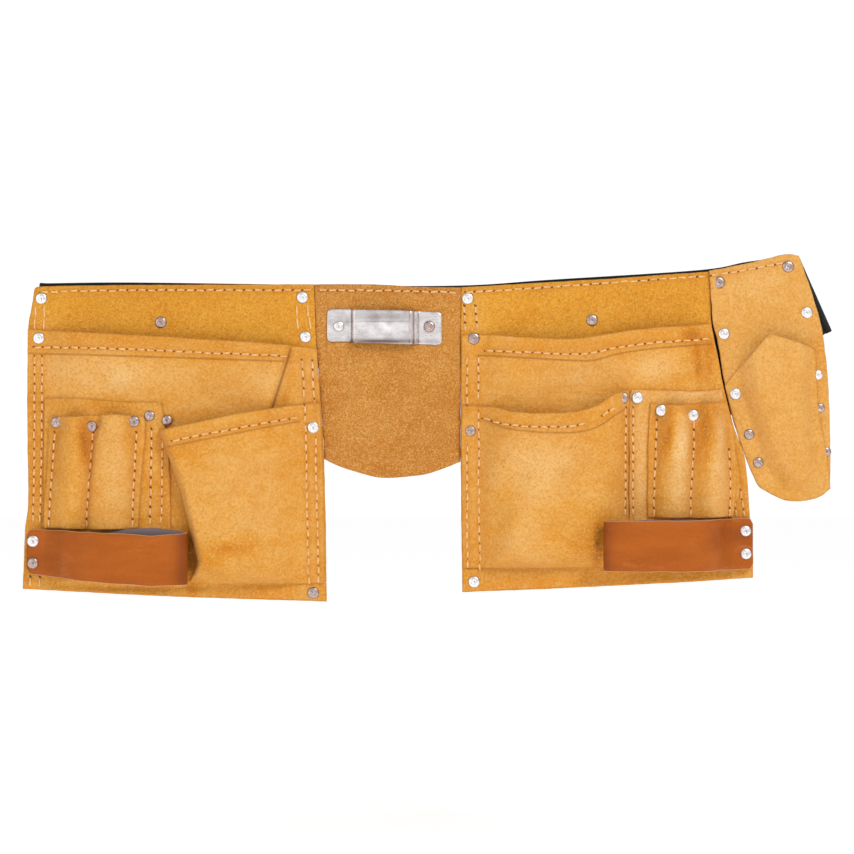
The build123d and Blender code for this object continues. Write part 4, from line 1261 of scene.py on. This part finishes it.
# ---------------------------------------------------------------- rivets
LEFT_HAMMER_RIVETS = [(-262.3, -159.1), (-262.5, -175.4)]
RIGHT_HAMMER_RIVETS = [(264.4, -151.5), (264.7, -168.4)]
HAMMER_SEAT = 12.8       # depth that the hammer straps' rivets sit at
rivets("belt_rivet_caps", "belt", on(left_back, LEFT_BAND_RIVETS[:2])
       + on(right_back, RIGHT_BAND_RIVETS[:1]) + on(left_back, [CORNER_RIVET]), "band_rivets")
rivets("belt_rivet_caps_worn", "belt",
       on(left_back, LEFT_BAND_RIVETS[2:]) + on(right_back, RIGHT_BAND_RIVETS[1:]))
rivets("bracket_rivet_caps", "belt", on(bracket, BRACKET_RIVETS[:1], 4), "bracket_rivets")
rivets("bracket_rivet_caps_worn", "belt", on(bracket, BRACKET_RIVETS[1:], 4.3))
rivets("holster_top_rivet_caps", "belt", on(holster_back, HOLSTER_TOP_RIVETS[1::2]),
       "holster_top_rivets")
rivets("holster_top_rivet_caps_worn", "belt", on(holster_back, HOLSTER_TOP_RIVETS[::2]))
rivets("left_pouch_rivet_caps", "left_pouch",
       on(left_upper, LEFT_RIM_RIVETS[:1]) + on(left_front, LEFT_RIM_RIVETS[1:2]),
       "left_pouch_rivets")
rivets("left_pouch_rivet_caps_worn", "left_pouch",
       on(left_tubes, [(-244.8, -71.2), (-218.4, -74.4), (-187, -70.6)], 4.2)
       + on(left_upper, LEFT_RIM_RIVETS[2:])
       + on(left_backing, [(-175.8, -66.4), (-162.8, -69.9)], 4))
rivets("right_pouch_rivet_caps", "right_pouch",
       on(right_tubes, [(225, -66.2), (201.6, -62.6)]) + on(right_backing, [BACKING_RIVET])
       + on(right_upper, RIGHT_RIM_RIVETS[2:]), "right_pouch_rivets")
rivets("right_pouch_rivet_caps_worn", "right_pouch", on(right_upper, RIGHT_RIM_RIVETS[:1])
       + on(right_front, [RIGHT_RIM_RIVETS[1], (173.4, -53.2)], 4))
rivets("left_hammer_rivet_caps", "left_pouch", [(*LEFT_HAMMER_RIVETS[0], HAMMER_SEAT, 4.4)],
       "left_hammer_loop_rivets")
rivets("left_hammer_rivet_caps_worn", "left_pouch", [(*LEFT_HAMMER_RIVETS[1], HAMMER_SEAT, 4.2)])
rivets("right_hammer_rivet_caps", "right_pouch",
       [(x, z, HAMMER_SEAT, 4.2) for x, z in RIGHT_HAMMER_RIVETS], "right_hammer_loop_rivets")
rivets("holster_rivet_caps", "holster", on(holster_front, HOLSTER_RIVETS[:1])
       + on(holster_back, HOLSTER_EDGE_RIVETS[:1], 3.8, 0.4), "holster_rivets")
rivets("holster_rivet_caps_worn", "holster", on(holster_front, HOLSTER_RIVETS[1:], 4)
       + on(holster_back, HOLSTER_EDGE_RIVETS[1:], 3.8, 0.4))

# ---------------------------------------------------------------- wearer's side
LEATHER_SEAT = BACK + 0.35
burrs("belt_rivet_burrs", "belt", [*LEFT_BAND_RIVETS, *RIGHT_BAND_RIVETS, *BRACKET_RIVETS,
                                   *HOLSTER_TOP_RIVETS], 0)
burrs("corner_rivet_burr", "belt", [CORNER_RIVET], LEATHER_SEAT)
burrs("left_pouch_rivet_burrs", "left_pouch", LEFT_RIM_RIVETS + LEFT_HAMMER_RIVETS, LEATHER_SEAT)
burrs("right_pouch_rivet_burrs", "right_pouch", RIGHT_RIM_RIVETS + RIGHT_HAMMER_RIVETS,
      LEATHER_SEAT)
burrs("holster_rivet_burrs", "holster", HOLSTER_RIVETS, LEATHER_SEAT, 2.5)
burrs("holster_edge_burrs", "holster", HOLSTER_EDGE_RIVETS, LEATHER_SEAT, 1.8)

sew("belt_rear_stitches", "belt", (lambda x, z: 0 * x, left_top_row[8:], centre_row, right_top_row,
                                   holster_row[:-4]), pitch=7.1, holed=False, face=-1)
sew("left_rear_stitches", "left_pouch",
    (left_back.depth, *left_columns, *left_foot_columns, *left_inner_columns), face=-1)
sew("right_rear_stitches", "right_pouch",
    (right_back.depth, *right_columns, *right_outer_columns), face=-1)

# ---------------------------------------------------------------- stage
CENTRE = Vector((0.0289, 0.0, -0.0747))
VIEW_WIDTH = 0.6305
CAMERA_BACK = 1.9
PICTURE_PLANE = 0.015    # distance in front of the origin that VIEW_WIDTH is measured at
SENSOR = 36.0
FLOOR_LEVEL, FLOOR_HALF = -0.42, 8
FRONT_LIGHT, REAR_LIGHT = 0.42, 1.05     # white behind the belt and softer in front of it
PAPER_GLOW = 0.45
WHITE = (1.0, 1.0, 1.0, 1.0)

paper = Shader("paper", rigid=True)
paper.set(Base_Color=(0.9, 0.9, 0.9, 1.0), Roughness=0.9)
paper.set(Emission_Color=WHITE, Emission_Strength=PAPER_GLOW)
floor_mesh = bpy.data.meshes.new("floor")
floor_mesh.from_pydata([(x * FLOOR_HALF, y * FLOOR_HALF, FLOOR_LEVEL)
                        for x, y in ((-1, -1), (1, -1), (1, 1), (-1, 1))], [], [(0, 1, 2, 3)])
floor_mesh.materials.append(paper.material)
floor = bpy.data.objects.new("floor", floor_mesh)
bpy.context.collection.objects.link(floor)

world = bpy.data.worlds.new("studio")
bpy.context.scene.world = world
world.use_nodes = True
tree = world.node_tree
direction = tree.nodes.new("ShaderNodeTexCoord")
split = tree.nodes.new("ShaderNodeSeparateXYZ")
ramp = tree.nodes.new("ShaderNodeMapRange")
for key, value in (("From Min", 0.2), ("From Max", 0.7), ("To Min", FRONT_LIGHT),
                   ("To Max", REAR_LIGHT)):
    ramp.inputs[key].default_value = value
tree.links.new(direction.outputs["Generated"], split.inputs[0])
tree.links.new(split.outputs["Y"], ramp.inputs["Value"])
tree.links.new(ramp.outputs[0], tree.nodes["Background"].inputs["Strength"])
tree.nodes["Background"].inputs["Color"].default_value = WHITE


def softbox(name, place, size, power):
    light = bpy.data.lights.new(name, "AREA")
    light.shape, light.size, light.energy = "SQUARE", size, power
    lamp = bpy.data.objects.new(name, light)
    lamp.location = place
    lamp.rotation_euler = (CENTRE - Vector(place)).to_track_quat("-Z", "Y").to_euler()
    bpy.context.collection.objects.link(lamp)


softbox("key", (1.0, -1.5, 1.3), 0.6, 24)
softbox("fill", (-1.5, -1.6, 0.5), 1.2, 9)

camera = bpy.data.cameras.new("camera")
camera.sensor_width = SENSOR
camera.lens = SENSOR * CAMERA_BACK / VIEW_WIDTH
eye = bpy.data.objects.new("camera", camera)
eye.location = CENTRE + Vector((0.0, -CAMERA_BACK - PICTURE_PLANE, 0.0))
eye.rotation_euler = (math.radians(90), 0.0, 0.0)
bpy.context.collection.objects.link(eye)
bpy.context.scene.camera = eye
bpy.context.scene.view_settings.view_transform = "Standard"
